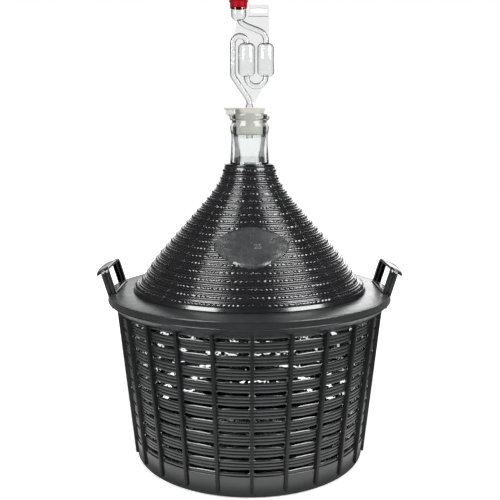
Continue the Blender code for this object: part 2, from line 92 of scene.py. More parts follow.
def colour(description, default):
    limits = {"subtype": "COLOR", "min": 0, "max": 1}
    return partial(FloatVectorProperty, description=description, default=default, **limits)


def labelled(group):
    """Makes a group's properties, each with its identifier spelt out as its name."""
    for key, made in group.__annotations__.items():
        group.__annotations__[key] = made(name=key.replace("_", " ").capitalize())
    return group


@labelled
class BasketSizes(bpy.types.PropertyGroup):
    rim_radius: length("Outside of the rim", basket_high[1])
    height: length("From the ground to the top of the rim", 0.2429)
    rim_face: length("Height of the rim's upright face", 0.0099)
    rim_wall: length("Wall of the rim beside the collar", 0.0026)
    rim_bead: length("How far the bead along the rim's foot stands out", 0.0006)
    seat_depth: length("How deep the collar sits in the rim", 0.0028)
    seat_width: length("The ledge that the collar sits on", 0.003)
    flare: length("Height of the dark flare under the rim", 0.0142)
    overhang: length("How far the rim stands out past the ribs", 0.0095)
    foot_radius: length("Outside of the ribs at the ground", 0.1702)
    rib_count: count("Upright ribs round the basket", 24)
    rib_turn: angle("How far the ribs are turned from the front", 1.0)
    rib_width: length("Width of each rib", 0.0048)
    rib_proud: length("How far a rib stands out from the slats", 0.0046)
    rib_foot: length("Height of the ribs' rounded tips", 0.0078)
    rib_round: length("Rounding along a rib's outer edges", 0.0011)
    slot_rows: count("Rows of slots", 11)
    slot_height: length("Height of a slot at its widest", 0.0046)
    slat_wall: length("Thickness of the slats", 0.003)
    strand_depth: length("How far each half-round strand of a slat bulges", 0.0012)
    band_height: length("Height of the plain band round the base", 0.0318)
    band_proud: length("How far the band stands out from the slats", 0.0014)
    band_wall: length("Wall of the plain band", 0.0045)
    band_edge: length("Rounding where the band meets the floor", 0.0045)
    floor_wall: length("Thickness of the basket's floor", 0.0036)


@labelled
class HandleSizes(bpy.types.PropertyGroup):
    half_width: length("Half of the handle's width along the rim", 0.045)
    leg: length("Width of each leg along the rim", 0.008)
    depth: length("Depth of the legs, outwards", 0.0115)
    height: length("Middle height of the grip above the rim", 0.038)
    arch: length("How far the grip's shoulders drop to its ends", 0.004)
    inset: length("From the rim's outside in to the handle", 0.0163)
    lean: angle("How far the handle leans out", 16.5)
    bar: length("Height of the low bar between the legs", 0.003)
    bar_drop: length("How far the low bar reaches below the rim", 0.001)
    root: length("How far the legs reach down inside the rim", 0.019)
    grip_wall: length("Thickness of the grip", 0.0036)
    grip_lip: length("How far the grip's lip stands out past the legs", 0.0062)
    grip_end: length("How far the grip stands out past the legs' sides", 0.001)
    lip_drop: length("How far the grip's lip hangs down", 0.0008)
    rail_round: length("Rounding of the inner rail over the legs", 0.012)
    groove_inset: length("From a leg's back to its groove", 0.0043)
    groove_width: length("Width of the groove down each leg", 0.0013)
    groove_depth: length("Depth of the groove down each leg", 0.0014)
    edge: length("Rounding of the handle's edges", 0.0009)


@labelled
class CoverSizes(bpy.types.PropertyGroup):
    foot: length("Height of the cone's foot", cone_low[2])
    height: length("Height of the cone", cone_high[2] - cone_low[2])
    base_radius: length("Outside of the cone's foot", cone_high[0])
    top_radius: length("Outside of the cone's top edge", 0.0355)
    wall: length("Wall of the cone below its ridges", 0.0024)
    band: length("Height of the plain band round the cone's foot", 0.0057)
    rows: count("Twisted strands round the cone", 19)
    first_row: length("From the top edge to the first strand, along the cone", 0.0092)
    last_row: length("From the last strand to the plain band, along the cone", 0.0056)
    turn: angle("How far the seams and the plaque are turned from the front", 1.5)
    strand_width: length("Width of a twisted strand", 0.0044)
    twist: length("From twist to twist along a strand", 0.0064)
    groove: length("Depth of the grooves between the ridges", 0.0018)
    seam_width: length("Width of the upright seams", 0.0008)
    nub_radius: length("Radius of the small nubs where a seam meets a strand", 0.0012)
    collar_inner: length("Radius of the collar's hole", 0.163)
    collar_rise: length("How far the collar rises towards the cone", 0.0022)
    collar_wall: length("Thickness of the collar", 0.0026)
    notch_gap: length("Room between the collar and a handle", 0.0015)
    plaque_width: length("Width of the plain oval plaque", 0.1)
    plaque_length: length("Length of the plaque down the cone", 0.066)
    digit_height: length("Height of the capacity digits on the plaque", 0.0078)


@labelled
class BottleSizes(bpy.types.PropertyGroup):
    wall: length("Thickness of the glass", 0.0045)
    clearance: length("Room between the bottle and the basket", 0.0025)
    cover_clearance: length("Room between the bottle and the cover", 0.0015)
    push_up: length("Height of the hollow under the base", 0.006)
    lip_radius: length("Outside of the lip", 0.028)
    bore_radius: length("Inside of the neck at the lip", 0.0201)


@labelled
class BungSizes(bpy.types.PropertyGroup):
    flange: length("Radius of the bung's flange", 0.0225)
    flange_wall: length("Thickness of the flange", 0.0014)
    shoulder: length("How far the flange stands out past the body", 0.0012)
    depth: length("How deep the bung reaches below the lip", 0.028)
    bore: length("Radius of the hole for the airlock", 0.0056)
    plug_flange: length("Radius of the small plug's top", 0.0085)
    plug_length: length("Length of the small plug", 0.0134)
    plug_radius: length("Radius of the small plug under its top", 0.0062)
    plug_tip: length("Radius of the small plug's tip", 0.0033)
    plug_reach: length("From the bung's axis to the plug's", 0.0357)
    plug_angle: angle("Where the plug lies, round from the right", 220.8)
    strap_width: length("Width of the plug's strap", 0.006)


@labelled
class AirlockSizes(bpy.types.PropertyGroup):
    tube_radius: length("Outside of the tube", 0.0041)
    wall: length("Wall of the tube, bulbs and cup", 0.001)
    stem_radius: length("Outside of the stem", 0.0053)
    stem_tip_radius: length("Outside of the stem's tip", 0.0046)
    stem_length: length("How deep the stem reaches into the bung", 0.043)
    waist: length("Height of the waist above the bung", 0.0105)
    riser_offset: length("From the stem's axis to the riser's", 0.0233)
    riser_foot: length("Height of the riser's foot above the bung", 0.0448)
    riser_head: length("Height of the riser's head above the bung", 0.0893)
    bend_radius: length("Middle radius of the upper bend", 0.00965)
    bulb_radius: length("Outside of the bulbs", 0.012)
    bulb_height: length("Height of the bulbs", 0.045)
    bulb_foot: length("Height of the bulbs' feet above the bung", 0.0442)
    bulb_round: length("Rounding of the bulbs' ends", 0.007)
    u_radius: length("Middle radius of the bend under the bulbs", 0.0134)
    cup_radius: length("Outside of the cup", 0.0105)
    cup_foot: length("Height of the cup's foot above the bung", 0.1197)
    cup_height: length("Height of the cup", 0.0225)
    cup_round: length("Rounding of the cup's foot", 0.0078)
    web_wall: length("Thickness of the flat web", 0.0012)
    web_right: length("From the stem's axis to the web's right edge", 0.0272)
    web_top: length("Height of the web's top above the bung", 0.1407)
    fold_drop: length("From the web's top down to the fold across it", 0.0146)
    cap_flange: length("Radius of the cap's flange", (cap_high[0] - cap_low[0]) / 2)
    cap_wall: length("Thickness of the cap's skirt", 0.0009)
    cap_rim: length("Height of the cap's flange", 0.0037)
    cap_dome: length("How far the cap's top swells", 0.0008)


@labelled
class Colours(bpy.types.PropertyGroup):
    cover: colour("Glossy black plastic of the cone", (0.011, 0.011, 0.012))
    collar: colour("Satin black plastic of the collar and the plaque", (0.028, 0.029, 0.03))
    basket: colour("Black plastic of the basket", (0.0145, 0.015, 0.016))
    glass: colour("Tint of the bottle", (0.935, 0.953, 0.945))
    bung: colour("Off-white plastic of the bung", (0.66, 0.65, 0.6))
    airlock: colour("Clear plastic of the airlock", (0.965, 0.968, 0.968))
    cap: colour("Red plastic of the cap", (0.36, 0.0, 0.008))


@labelled
class StageSettings(bpy.types.PropertyGroup):
    camera_distance: length("From the demijohn's axis to the camera", 1.0012)
    camera_height: length("Height of the camera", 0.4506)
    camera_pitch: angle("How far the camera looks down", 8.62)
    lens: number("Focal length in millimetres", 50)
    axis_offset: number("Share of the frame that the axis lies off centre", 0.001)
    key: number("Power of each softbox in watts", 26)
    gloss: number("Power of each panel that shows in the gloss", 46)
    sky: number("Strength of the light from all round", 0.4)


size_groups = {
    "demijohn_basket": BasketSizes,
    "demijohn_handles": HandleSizes,
    "demijohn_cover": CoverSizes,
    "demijohn_bottle": BottleSizes,
    "demijohn_bung": BungSizes,
    "demijohn_airlock": AirlockSizes,
    "demijohn_colours": Colours,
    "demijohn_stage": StageSettings,
}


def sizes(group):
    return getattr(bpy.context.scene, "demijohn_" + group)


class Line:
    """A line of points, with a place at any reach along it."""

    def __init__(self, points):
        self.points = [Vector(point) for point in points]
        self.reaches = [0.0]
        for start, end in zip(self.points, self.points[1:]):
            self.reaches.append(self.reaches[-1] + (end - start).length)
        self.length = self.reaches[-1]

    def at(self, reach, proud=0.0):
        """The place at a reach along the line, moved out to its left."""
        i = min(max(bisect.bisect_right(self.reaches, reach) - 1, 0), len(self.points) - 2)
        run = self.points[i + 1] - self.points[i]
        share = (reach - self.reaches[i]) / run.length
        return self.points[i] + run * share + Vector((-run.y, run.x)).normalized() * proud


def smooth(points, steps):
    """More points on a soft curve through the given ones."""
    line = [Vector(point) for point in points]
    made = []
    for i, (here, there) in enumerate(zip(line, line[1:])):
        before = line[max(i - 1, 0)]
        after = line[min(i + 2, len(line) - 1)]
        for k in range(steps):
            t = k / steps
            bend = (2 * before - 5 * here + 4 * there - after) * t * t
            twist = (3 * here - before - 3 * there + after) * t**3
            made.append(here + ((there - before) * t + bend + twist) / 2)
    return [tuple(point) for point in [*made, line[-1]]]


def rounded(corners, steps=3):
    """A closed outline from (x, z, rounding) corners, with a soft arc at each rounded one."""
    made = []
    for i, (x, z, radius) in enumerate(corners):
        here = Vector((x, z))
        if not radius:
            made.append(tuple(here))
            continue
        before = Vector(corners[i - 1][:2]) - here
        after = Vector(corners[(i + 1) % len(corners)][:2]) - here
        reach = radius / math.tan(before.angle(after) / 2)
        start = here + before.normalized() * min(reach, before.length / 2)
        end = here + after.normalized() * min(reach, after.length / 2)
        for k in range(steps + 1):
            t = k / steps
            made.append(tuple(start * (1 - t) ** 2 + here * 2 * t * (1 - t) + end * t * t))
    return made


def arc(centre_x, centre_z, radius, start, end, steps):
    """Points along a round stretch, from one angle in degrees to another."""
    turns = [math.radians(start + (end - start) * k / steps) for k in range(steps + 1)]
    return [(centre_x + radius * math.cos(a), centre_z + radius * math.sin(a)) for a in turns]


def drawn(shape, points, closed=True):
    """The outline as vertices and edges standing in the XZ plane."""
    verts = [shape.verts.new((x, 0, z)) for x, z in points]
    edges = [shape.edges.new(pair) for pair in zip(verts, verts[1:])]
    if closed:
        edges.append(shape.edges.new((verts[-1], verts[0])))
    return verts + edges


def tidy(shape):
    bmesh.ops.remove_doubles(shape, verts=shape.verts, dist=weld)
    bmesh.ops.recalc_face_normals(shape, faces=shape.faces)
    return shape


def turned(points, steps, closed=True, shape=None):
    """A turned shape from (radius, height) points, added to a shape if one is given."""
    shape = shape or bmesh.new()
    line = drawn(shape, points, closed)
    bmesh.ops.spin(
        shape, geom=line, cent=(0, 0, 0), axis=(0, 0, 1), angle=2 * math.pi, steps=steps, use_merge=True
    )
    return tidy(shape)


def slab(outlines, thickness):
    """A flat plate in the XZ plane, with the first outline as its edge and the others as holes."""
    shape = bmesh.new()
    edges = []
    for outline in outlines:
        edges += [item for item in drawn(shape, outline) if isinstance(item, bmesh.types.BMEdge)]
    bmesh.ops.triangle_fill(shape, edges=edges, use_beauty=True)
    thicken(shape, Vector((0, thickness, 0)))
    bmesh.ops.translate(shape, verts=shape.verts, vec=(0, -thickness / 2, 0))
    return tidy(shape)


def thicken(shape, move):
    """Extrudes every face of a flat shape along a move."""
    made = bmesh.ops.extrude_face_region(shape, geom=shape.faces[:])
    lifted = [item for item in made["geom"] if isinstance(item, bmesh.types.BMVert)]
    bmesh.ops.translate(shape, verts=lifted, vec=move)


def soften(shape, edges, radius, steps=2):
    bmesh.ops.bevel(
        shape, geom=edges, offset=radius, offset_type="OFFSET", segments=steps, profile=0.5,
        affect="EDGES", clamp_overlap=True, material=-1,
    )


def sharp_edges(shape, least=0.6):
    return [edge for edge in shape.edges if edge.calc_face_angle(0) > least]


def round_array(shape, copies):
    """Copies of the whole shape round the upright axis, counting the first."""
    turn = 2 * math.pi / copies
    bmesh.ops.spin(
        shape, geom=shape.verts[:] + shape.edges[:] + shape.faces[:], cent=(0, 0, 0), axis=(0, 0, 1),
        angle=turn * (copies - 1), steps=copies - 1, use_duplicate=True,
    )
    return shape


def placed(shape, matrix):
    bmesh.ops.transform(shape, matrix=matrix, verts=shape.verts)
    return shape


def merged(*shapes):
    """Several shapes as one, each of them still whole."""
    whole = bmesh.new()
    for shape in shapes:
        mesh = bpy.data.meshes.new("part")
        shape.to_mesh(mesh)
        shape.free()
        whole.from_mesh(mesh)
        bpy.data.meshes.remove(mesh)
    return whole


def loose(shape, name="part"):
    mesh = bpy.data.meshes.new(name)
    shape.to_mesh(mesh)
    shape.free()
    made = bpy.data.objects.new(name, mesh)
    bpy.context.scene.collection.objects.link(made)
    return made


def finished(item):
    """The shape of an object with its modifiers or its curve's bevel; the object itself goes."""
    bpy.context.view_layer.update()
    mesh = bpy.data.meshes.new_from_object(item.evaluated_get(bpy.context.evaluated_depsgraph_get()))
    bpy.data.objects.remove(item, do_unlink=True)
    shape = bmesh.new()
    shape.from_mesh(mesh)
    bpy.data.meshes.remove(mesh)
    return shape


def curved(curve):
    """The shape of a curve or a text."""
    item = bpy.data.objects.new(curve.name, curve)
    bpy.context.scene.collection.objects.link(item)
    return finished(item)


def combined(shape, others, operation):
    """The shape with others added to it or cut from it."""
    base = loose(shape)
    tools = [loose(other) for other in others]
    for tool in tools:
        step = base.modifiers.new(operation, "BOOLEAN")
        step.operation = operation
        step.object = tool
        step.solver = "MANIFOLD"
    made = finished(base)
    for tool in tools:
        bpy.data.objects.remove(tool, do_unlink=True)
    return made


def piece(name, shape, body, look, nodes=(), crease=40):
    """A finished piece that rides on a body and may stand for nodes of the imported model."""
    made = loose(shape, name)
    made.data.materials.append(look)
    made.data.shade_smooth()
    made.data.set_sharp_from_angle(angle=math.radians(crease))
    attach(made, body)
    if nodes:
        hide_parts(*nodes)
    return made


class Value:
    """A shader socket that can be reckoned with like a number."""

    def __init__(self, look, socket):
        self.look = look
        self.socket = socket

    def reckon(self, operation, first, second):
        return self.look.node("ShaderNodeMath", {"operation": operation}, {0: first, 1: second})

    def __add__(self, other):
        return self.reckon("ADD", self, other)

    def __sub__(self, other):
        return self.reckon("SUBTRACT", self, other)

    def __rsub__(self, other):
        return self.reckon("SUBTRACT", other, self)

    def __mul__(self, other):
        return self.reckon("MULTIPLY", self, other)

    def __truediv__(self, other):
        return self.reckon("DIVIDE", self, other)

    def __gt__(self, other):
        return self.reckon("GREATER_THAN", self, other)

    __radd__ = __add__
    __rmul__ = __mul__


class Look:
    """A material or a world, with its nodes made one by one."""

    def __init__(self, owner):
        owner.use_nodes = True
        self.owner = owner
        self.tree = owner.node_tree

    def put(self, socket, value):
        if isinstance(value, Value):
            self.tree.links.new(value.socket, socket)
        else:
            socket.default_value = value

    def node(self, kind, settings=None, values=None, output=0):
        made = self.tree.nodes.new(kind)
        for name, setting in (settings or {}).items():
            if name == "stops":
                self.set_stops(made.color_ramp, setting)
            else:
                setattr(made, name, setting)
        for name, value in (values or {}).items():
            self.put(made.inputs[name], value)
        return Value(self, made.outputs[output])

    def set_stops(self, ramp, stops):
        while len(ramp.elements) < len(stops):
            ramp.elements.new(1)
        for element, (place, shade) in zip(ramp.elements, stops):
            element.position = place
            element.color = (*([shade] * 3 if isinstance(shade, float) else shade), 1)

    def place(self):
        return self.node("ShaderNodeTexCoord", output="Object")

    def speckle(self, scale, detail=2.0, stops=None):
        """Soft noise through the piece's own space, between two stops if they are given."""
        made = self.node(
            "ShaderNodeTexNoise", None, {"Vector": self.place(), "Scale": scale, "Detail": detail}, "Fac"
        )
        if stops:
            made = self.node("ShaderNodeValToRGB", {"stops": stops}, {"Fac": made})
        return made

    def bump(self, height):
        return self.node(
            "ShaderNodeBump", None, {"Height": height, "Distance": 1.0, "Strength": 1.0}, "Normal"
        )

    def blend(self, factor, first, second):
        """A colour that changes between two."""
        values = {"Factor": factor, "A": (*first, 1), "B": (*second, 1)}
        return self.node("ShaderNodeMix", {"data_type": "RGBA"}, values, "Result")


def surface(name, **values):
    """A material whose Principled shader has the given values, and its shader's sockets."""
    look = Look(bpy.data.materials.new(name))
    shader = look.tree.nodes["Principled BSDF"]
    for socket, value in values.items():
        look.put(shader.inputs[socket.replace("_", " ")], value)
    return look, shader.inputs


# Each moulded plastic: its colour and how much lighter it is made, its roughness and how far that
# drifts, the depths of its grain and of its waves, how light its mottling gets, and its gloss
plastics = {
    "cover": ("cover", 1.0, 0.17, 0.12, 0.00001, 0.0001, 1.5, 0.8),
    "collar": ("collar", 1.0, 0.32, 0.1, 0.00002, 0.0005, 1.5, 0.8),
    "plaque": ("collar", 1.0, 0.3, 0.2, 0.00006, 0.0009, 1.9, 0.8),
    # The digits are painted five times lighter than the collar's plastic: a painted highlight for the light
    # their raised edges catch
    "digits": ("collar", 5.0, 0.4, 0.1, 0.00001, 0.0001, 1.5, 0.8),
    "basket": ("basket", 1.0, 0.21, 0.12, 0.00002, 0.0003, 1.5, 0.8),
    # The ribs are painted at 0.6 of the basket's colour, a darker copy of the same plastic: painted shade
    "ribs": ("basket", 0.6, 0.42, 0.12, 0.00003, 0.0003, 1.5, 0.3),
}


def moulded_plastic(kind):
    """Moulded plastic: its gloss drifts, it has a fine grain, and its skin isn't quite even."""
    colour_name, lighter, rough, rough_change, grain, wave, mottle, shine = plastics[kind]
    shade = [lighter * c for c in getattr(sizes("colours"), colour_name)]
    look, shader = surface(kind + "_plastic", Specular_IOR_Level=shine)
    drift = look.speckle(55.0, 3.0)
    patches = look.speckle(30.0, 4.0, [(0.35, 0.0), (0.75, 1.0)])
    look.put(shader["Base Color"], look.blend(patches, shade, [c * mottle for c in shade]))
    look.put(shader["Roughness"], drift * rough_change + (rough - rough_change / 2))
    look.put(shader["Normal"], look.bump(look.speckle(900.0, 2.0) * grain + look.speckle(70.0, 2.0) * wave))
    return look.owner


def bottle_look():
    tint = (*sizes("colours").glass, 1)
    look, shader = surface("bottle_glass", Base_Color=tint, Transmission_Weight=1.0, Roughness=0.0, IOR=1.5)
    ripple = look.speckle(22.0, 2.0) * 0.0012 + look.speckle(90.0, 2.0) * 0.0002
    look.put(shader["Normal"], look.bump(ripple))
    return look.owner


def bung_look():
    """Off-white plastic, with painted light below the lip: it is made paler there, where less light reaches
    it through the glass.
    """
    look, shader = surface("bung_plastic", Subsurface_Weight=0.25, Subsurface_Scale=0.004)
    shade = sizes("colours").bung
    height = axes(look, look.place())[2] + look.speckle(120.0, 3.0) * 0.001
    above = ramp(look, height, lip_height - 0.001, lip_height + 0.0015, 0.0, 1.0)
    # Painted light: below the lip the bung's colour is 1.3 times paler, standing in for the light that the
    # glass keeps from it
    look.put(shader["Base Color"], look.blend(above, [c * 1.3 for c in shade], shade))
    look.put(shader["Roughness"], look.speckle(200.0) * 0.15 + 0.35)
    look.put(shader["Normal"], look.bump(look.speckle(700.0) * 0.00004))
    return look.owner


def airlock_look():
    look, shader = surface(
        "airlock_plastic", Base_Color=(*sizes("colours").airlock, 1), Transmission_Weight=1.0, IOR=1.49
    )
    look.put(shader["Roughness"], look.speckle(150.0) * 0.06 + 0.03)
    look.put(shader["Normal"], look.bump(look.speckle(120.0) * 0.0002))
    return look.owner


def cap_look():
    look, shader = surface("cap_plastic", Specular_IOR_Level=0.08)
    shade = sizes("colours").cap
    look.put(shader["Base Color"], look.blend(look.speckle(150.0, 3.0), shade, [c * 0.8 for c in shade]))
    look.put(shader["Roughness"], look.speckle(250.0) * 0.12 + 0.36)
    look.put(shader["Normal"], look.bump(look.speckle(800.0) * 0.00003))
    return look.owner


def rib_outside(height):
    b = sizes("basket")
    return b.foot_radius + (b.rim_radius - b.overhang - b.foot_radius) * height / b.height


def slat_outside(height):
    return rib_outside(height) - sizes("basket").rib_proud


def rim_shape():
    """The rim: its upright face with a bead at the foot, the flare below and the collar's seat."""
    b = sizes("basket")
    edge = 0.0007
    face = b.rim_radius - b.rim_bead
    face_foot = b.height - b.rim_face
    flare_foot = face_foot - b.flare
    flare_bend = face_foot - b.flare * 0.54
    flare_radius = b.rim_radius - (b.rim_radius - rib_outside(flare_foot)) * 0.7
    inside = b.rim_radius - b.rim_wall
    foot_outside = slat_outside(flare_foot) + b.strand_depth
    foot_inside = slat_outside(flare_foot) - b.slat_wall
    seat = b.height - b.seat_depth
    corners = [
        (inside, b.height, edge), (face, b.height, edge),
        (face, face_foot + 2 * b.rim_bead, b.rim_bead / 2),
        (b.rim_radius, face_foot + 1.4 * b.rim_bead, b.rim_bead / 2),
        (b.rim_radius, face_foot, b.rim_bead / 2),
        (b.rim_radius - 2 * b.rim_bead, face_foot - b.rim_bead, edge),
        (flare_radius, flare_bend, 0.003), (foot_outside, flare_foot + b.strand_depth, edge),
        (foot_outside, flare_foot, edge), (foot_inside, flare_foot, 0),
        (foot_inside, flare_foot + 2 * b.slat_wall, 0.002),
        (flare_radius - b.seat_width, flare_bend + b.seat_width, 0.002),
        (inside - b.seat_width, face_foot + b.seat_width, 0), (inside - b.seat_width, seat, 0),
        (inside, seat, 0),
    ]
    return turned(rounded(corners), fine_steps)


def band_shape():
    """The floor and the plain band round it."""
    b = sizes("basket")
    proud = b.rib_proud - b.band_proud
    top = rib_outside(b.band_height) - proud
    foot = rib_outside(0) - proud
    corners = [
        (foot - b.band_wall - b.band_edge, b.floor_wall, 0),
        (foot - b.band_wall, b.floor_wall + b.band_edge, 0), (top - b.band_wall, b.band_height, 0),
        (top, b.band_height, 0.0007), (foot, 0, b.band_edge),
    ]
    outline = [(0, b.floor_wall), *rounded(corners, 4), (0, 0)]
    return turned(outline, fine_steps, closed=False)


def rib_shape():
    """One upright rib at the front, with rounded outer edges and a rounded tip."""
    b = sizes("basket")
    shape = bmesh.new()
    half = b.rib_width / 2
    top = b.height - b.rim_face - 0.003
    lean = math.atan2(rib_outside(top) - rib_outside(0), top)
    reach = (top - b.rib_foot) / math.cos(lean)
    outline = [(half, reach), (-half, reach)]
    outline += [(x, z + 1.3 * half) for x, z in arc(0, 0, half, 180, 360, 8)]
    face = shape.faces.new([item for item in drawn(shape, outline) if isinstance(item, bmesh.types.BMVert)])
    depth = b.rib_proud + b.slat_wall / 2
    thicken(shape, Vector((0, depth, 0)))
    tidy(shape)
    front = [edge for edge in sharp_edges(shape) if max(v.co.y for v in edge.verts) < depth / 2]
    soften(shape, front, b.rib_round)
    tip = Matrix.Translation((0, -rib_outside(b.rib_foot), b.rib_foot))
    tilt = Matrix.Rotation(lean, 4, "X")
    return placed(shape, Matrix.Rotation(b.rib_turn, 4, "Z") @ tip @ tilt)


def slat_outline(low, high, strands):
    """A slat's section: half-round strands outside and a plain face inside."""
    b = sizes("basket")
    each = (high - low) / strands
    points = []
    for strand in range(strands):
        for k in range(5):
            turn = math.pi * k / 5
            height = high - each * (strand + (1 - math.cos(turn)) / 2)
            out = b.strand_depth * (math.sin(turn) - 1)
            points.append((slat_outside(height) + out, height))
    points.append((slat_outside(low) - b.strand_depth, low))
    points.append((slat_outside(low) - b.slat_wall, low + b.strand_depth / 2))
    points.append((slat_outside(high) - b.slat_wall, high - b.strand_depth / 2))
    return points


# Stations across half a bay, from its middle to the rib, and how open a slot is at each
bay_shares = (0.0, 0.3, 0.58, 0.78, 0.845, 0.89, 1.0)
open_shares = (0.7, 0.76, 0.92, 1.0, 0.8, 0.15, -0.1)


# From the flare down to the middle of the first row of slots, and from the band up to the last
first_inset = 0.003
last_inset = 0.0065


def slats_shape():
    """The slats between the slots, thicker at the ribs, where each slot ends in a small round."""
    b = sizes("basket")
    half_bay = math.pi / b.rib_count
    stations = len(bay_shares) - 1
    first = b.height - b.rim_face - b.flare - first_inset
    last = b.band_height + last_inset
    pitch = (first - last) / (b.slot_rows - 1)
    slat = pitch - b.slot_height
    shapes = []
    for row in range(b.slot_rows + 1):
        high = first - b.slot_height / 2 - pitch * (row - 1)
        low = high - slat
        strands = 3
        if row == 0:
            high = b.height - b.rim_face - b.flare + b.strand_depth
            low = first + b.slot_height / 2
            strands = 1
        if row == b.slot_rows:
            high = last - b.slot_height / 2
            low = b.band_height - b.strand_depth
            strands = 1
        shape = turned(slat_outline(low, high, strands), 2 * stations * b.rib_count)
        middle = (low + high) / 2
        for vert in shape.verts:
            turn = math.atan2(vert.co.y, vert.co.x)
            radius = math.hypot(vert.co.x, vert.co.y)
            step = round(turn / half_bay * stations)
            bay, station = divmod(step + stations, 2 * stations)
            station -= stations
            share = math.copysign(bay_shares[abs(station)], station)
            side = -1 if vert.co.z < middle else 1
            drift = 1 + 0.22 * share * math.sin(2.4 * bay + 1.7 * (row + (side < 0)))
            opening = open_shares[abs(station)] * (drift if abs(share) < 0.9 else 1)
            reach = abs(vert.co.z - middle) / (high - low) * 2
            if 0 < row < b.slot_rows or (row == 0) == (side < 0):
                vert.co.z += side * reach**3 * (1 - opening) * b.slot_height / 2
            place = (2 * bay + share) * half_bay + b.rib_turn
            vert.co.x = radius * math.cos(place)
            vert.co.y = radius * math.sin(place)
        shapes.append(shape)
    # The bays' middles lie half a bay round from the ribs
    return placed(merged(*shapes), Matrix.Rotation(half_bay, 4, "Z"))


def handle_place(side, depth=0.0):
    """The leaning plane of a handle: x along the rim, z up the handle and -y out of it."""
    b = sizes("basket")
    h = sizes("handles")
    up = Vector((side * math.sin(h.lean), 0, math.cos(h.lean)))
    out = Vector((side * math.cos(h.lean), 0, -math.sin(h.lean)))
    turn = Matrix((up.cross(out), -out, up)).transposed().to_4x4()
    foot = Matrix.Translation((side * (b.rim_radius - h.inset), 0, b.height))
    return foot @ turn @ Matrix.Translation((0, -depth, 0))


def handle_shape(side):
    """Two grooved legs, a low bar, an inner rail over them, and a grip with a lip that turns down."""
    h = sizes("handles")
    inner = h.half_width - h.leg
    low = h.height - h.arch / 2 - h.grip_wall
    top = low + h.arch + h.grip_wall

    def rise(across):
        return h.arch * (1 - (across / h.half_width) ** 4)

    def layer(half, head, rounding, start, end):
        frame_line = [
            (half, -h.root, 0), (half, head, rounding), (-half, head, rounding),
            (-half, -h.root, 0), (-inner, -h.root, 0), (-inner, -h.bar_drop, 0),
            (inner, -h.bar_drop, 0), (inner, -h.root, 0),
        ]
        hole_head = low + h.arch * 0.8
        hole_end = [(-inner, hole_head, 0.001), (-inner, h.bar, 0)]
        opening = [(inner, h.bar, 0), (inner, hole_head, 0.001), *hole_end]
        made = slab([rounded(frame_line, 5), rounded(opening)], end - start)
        soften(made, sharp_edges(made), h.edge)
        return placed(made, handle_place(side, (start + end) / 2))

    # An inner rail over both legs, and the legs' outer part, with the groove between the two
    rail = layer(h.half_width, top, h.rail_round, 0, h.groove_inset)
    neck = layer(h.half_width - h.groove_depth, low + h.arch, 0.004, h.edge, h.depth - h.edge)
    body = layer(h.half_width, low + h.arch / 2, 0.003, h.groove_inset + h.groove_width, h.depth)
    reach = h.depth + h.grip_lip - h.grip_end / 2
    section = [
        (h.groove_inset - h.edge, 0, 0.0003), (h.groove_inset - h.edge, h.grip_wall, h.edge),
        (h.depth, h.grip_wall - 0.0002, 0.003), (reach, h.grip_wall - 0.001, 1.4 * h.edge),
        (reach, -h.lip_drop, h.edge), (reach - 0.004, 0, h.edge),
    ]
    half = h.half_width + h.grip_end
    steps = 24
    strap = bmesh.new()
    verts = [strap.verts.new((-half, -out, low + up)) for out, up in rounded(section)]
    strap.faces.new(verts)
    for k in range(steps):
        reached = half * (2 * k / steps - 1) - weld
        end = [face for face in strap.faces if min(v.co.x for v in face.verts) > reached]
        made = bmesh.ops.extrude_face_region(strap, geom=end)
        moved = [item for item in made["geom"] if isinstance(item, bmesh.types.BMVert)]
        bmesh.ops.translate(strap, verts=moved, vec=(2 * half / steps, 0, 0))
        if k:
            bmesh.ops.delete(strap, geom=end, context="FACES_ONLY")
    tidy(strap)
    ends = [edge for edge in sharp_edges(strap) if abs(edge.verts[0].co.x) > half - weld]
    soften(strap, ends, 0.0005)
    for vert in strap.verts:
        # The grip's ends draw in towards the rail, whose corners are round
        inwards = 1 + (vert.co.y + h.groove_inset) / reach
        vert.co.x *= 1 - 0.16 * max(inwards, 0.0) ** 2
        vert.co.z += rise(vert.co.x)
    placed(strap, handle_place(side))
    return merged(rail, neck, body, strap)


# The cone's outline as shares of its height and of the reach from its top edge to its foot
cover_shares = (
    (1.0, 0.0), (0.9, 0.04), (0.832, 0.086), (0.741, 0.176), (0.649, 0.281), (0.557, 0.392),
    (0.466, 0.5), (0.374, 0.61), (0.283, 0.716), (0.191, 0.809), (0.1, 0.894),
)


def cover_points():
    c = sizes("cover")
    width = c.base_radius - c.top_radius
    return [(c.top_radius + width * across, c.foot + c.height * up) for up, across in cover_shares]


def cover_line():
    """The outermost line of the cone, from its top edge down to its plain band."""
    c = sizes("cover")
    return Line(smooth([*cover_points(), (c.base_radius, c.foot + c.band)], 6))


def row_reaches(line):
    """How far along the cone each twisted strand lies, and the pitch between them."""
    c = sizes("cover")
    pitch = (line.length - c.first_row - c.last_row) / (c.rows - 1)
    return [c.first_row + pitch * row for row in range(c.rows)], pitch


# One pitch of the relief below a strand's middle, as shares of the pitch and of the groove's depth
relief_shares = (
    (0.0, 0.75), (0.16, 0.8), (0.195, 0.85), (0.225, 0.5), (0.265, 0.3), (0.305, 0.28), (0.35, 0.4),
    (0.395, 0.7), (0.43, 0.97), (0.465, 0.7), (0.51, 0.38), (0.57, 0.26), (0.63, 0.32), (0.69, 0.6),
    (0.745, 0.98), (0.8, 1.0), (0.84, 0.8),
)


# The plain ring at the cone's top: how far down the cone, and how deep as a share of the groove's depth
head_line = (
    (0, 0.4), (0.0006, 0), (0.0016, 0), (0.0022, 0.75), (0.003, 0.2), (0.0038, 0.15), (0.0046, 0.7),
    (0.0052, 0.8), (0.0057, 0.8),
)


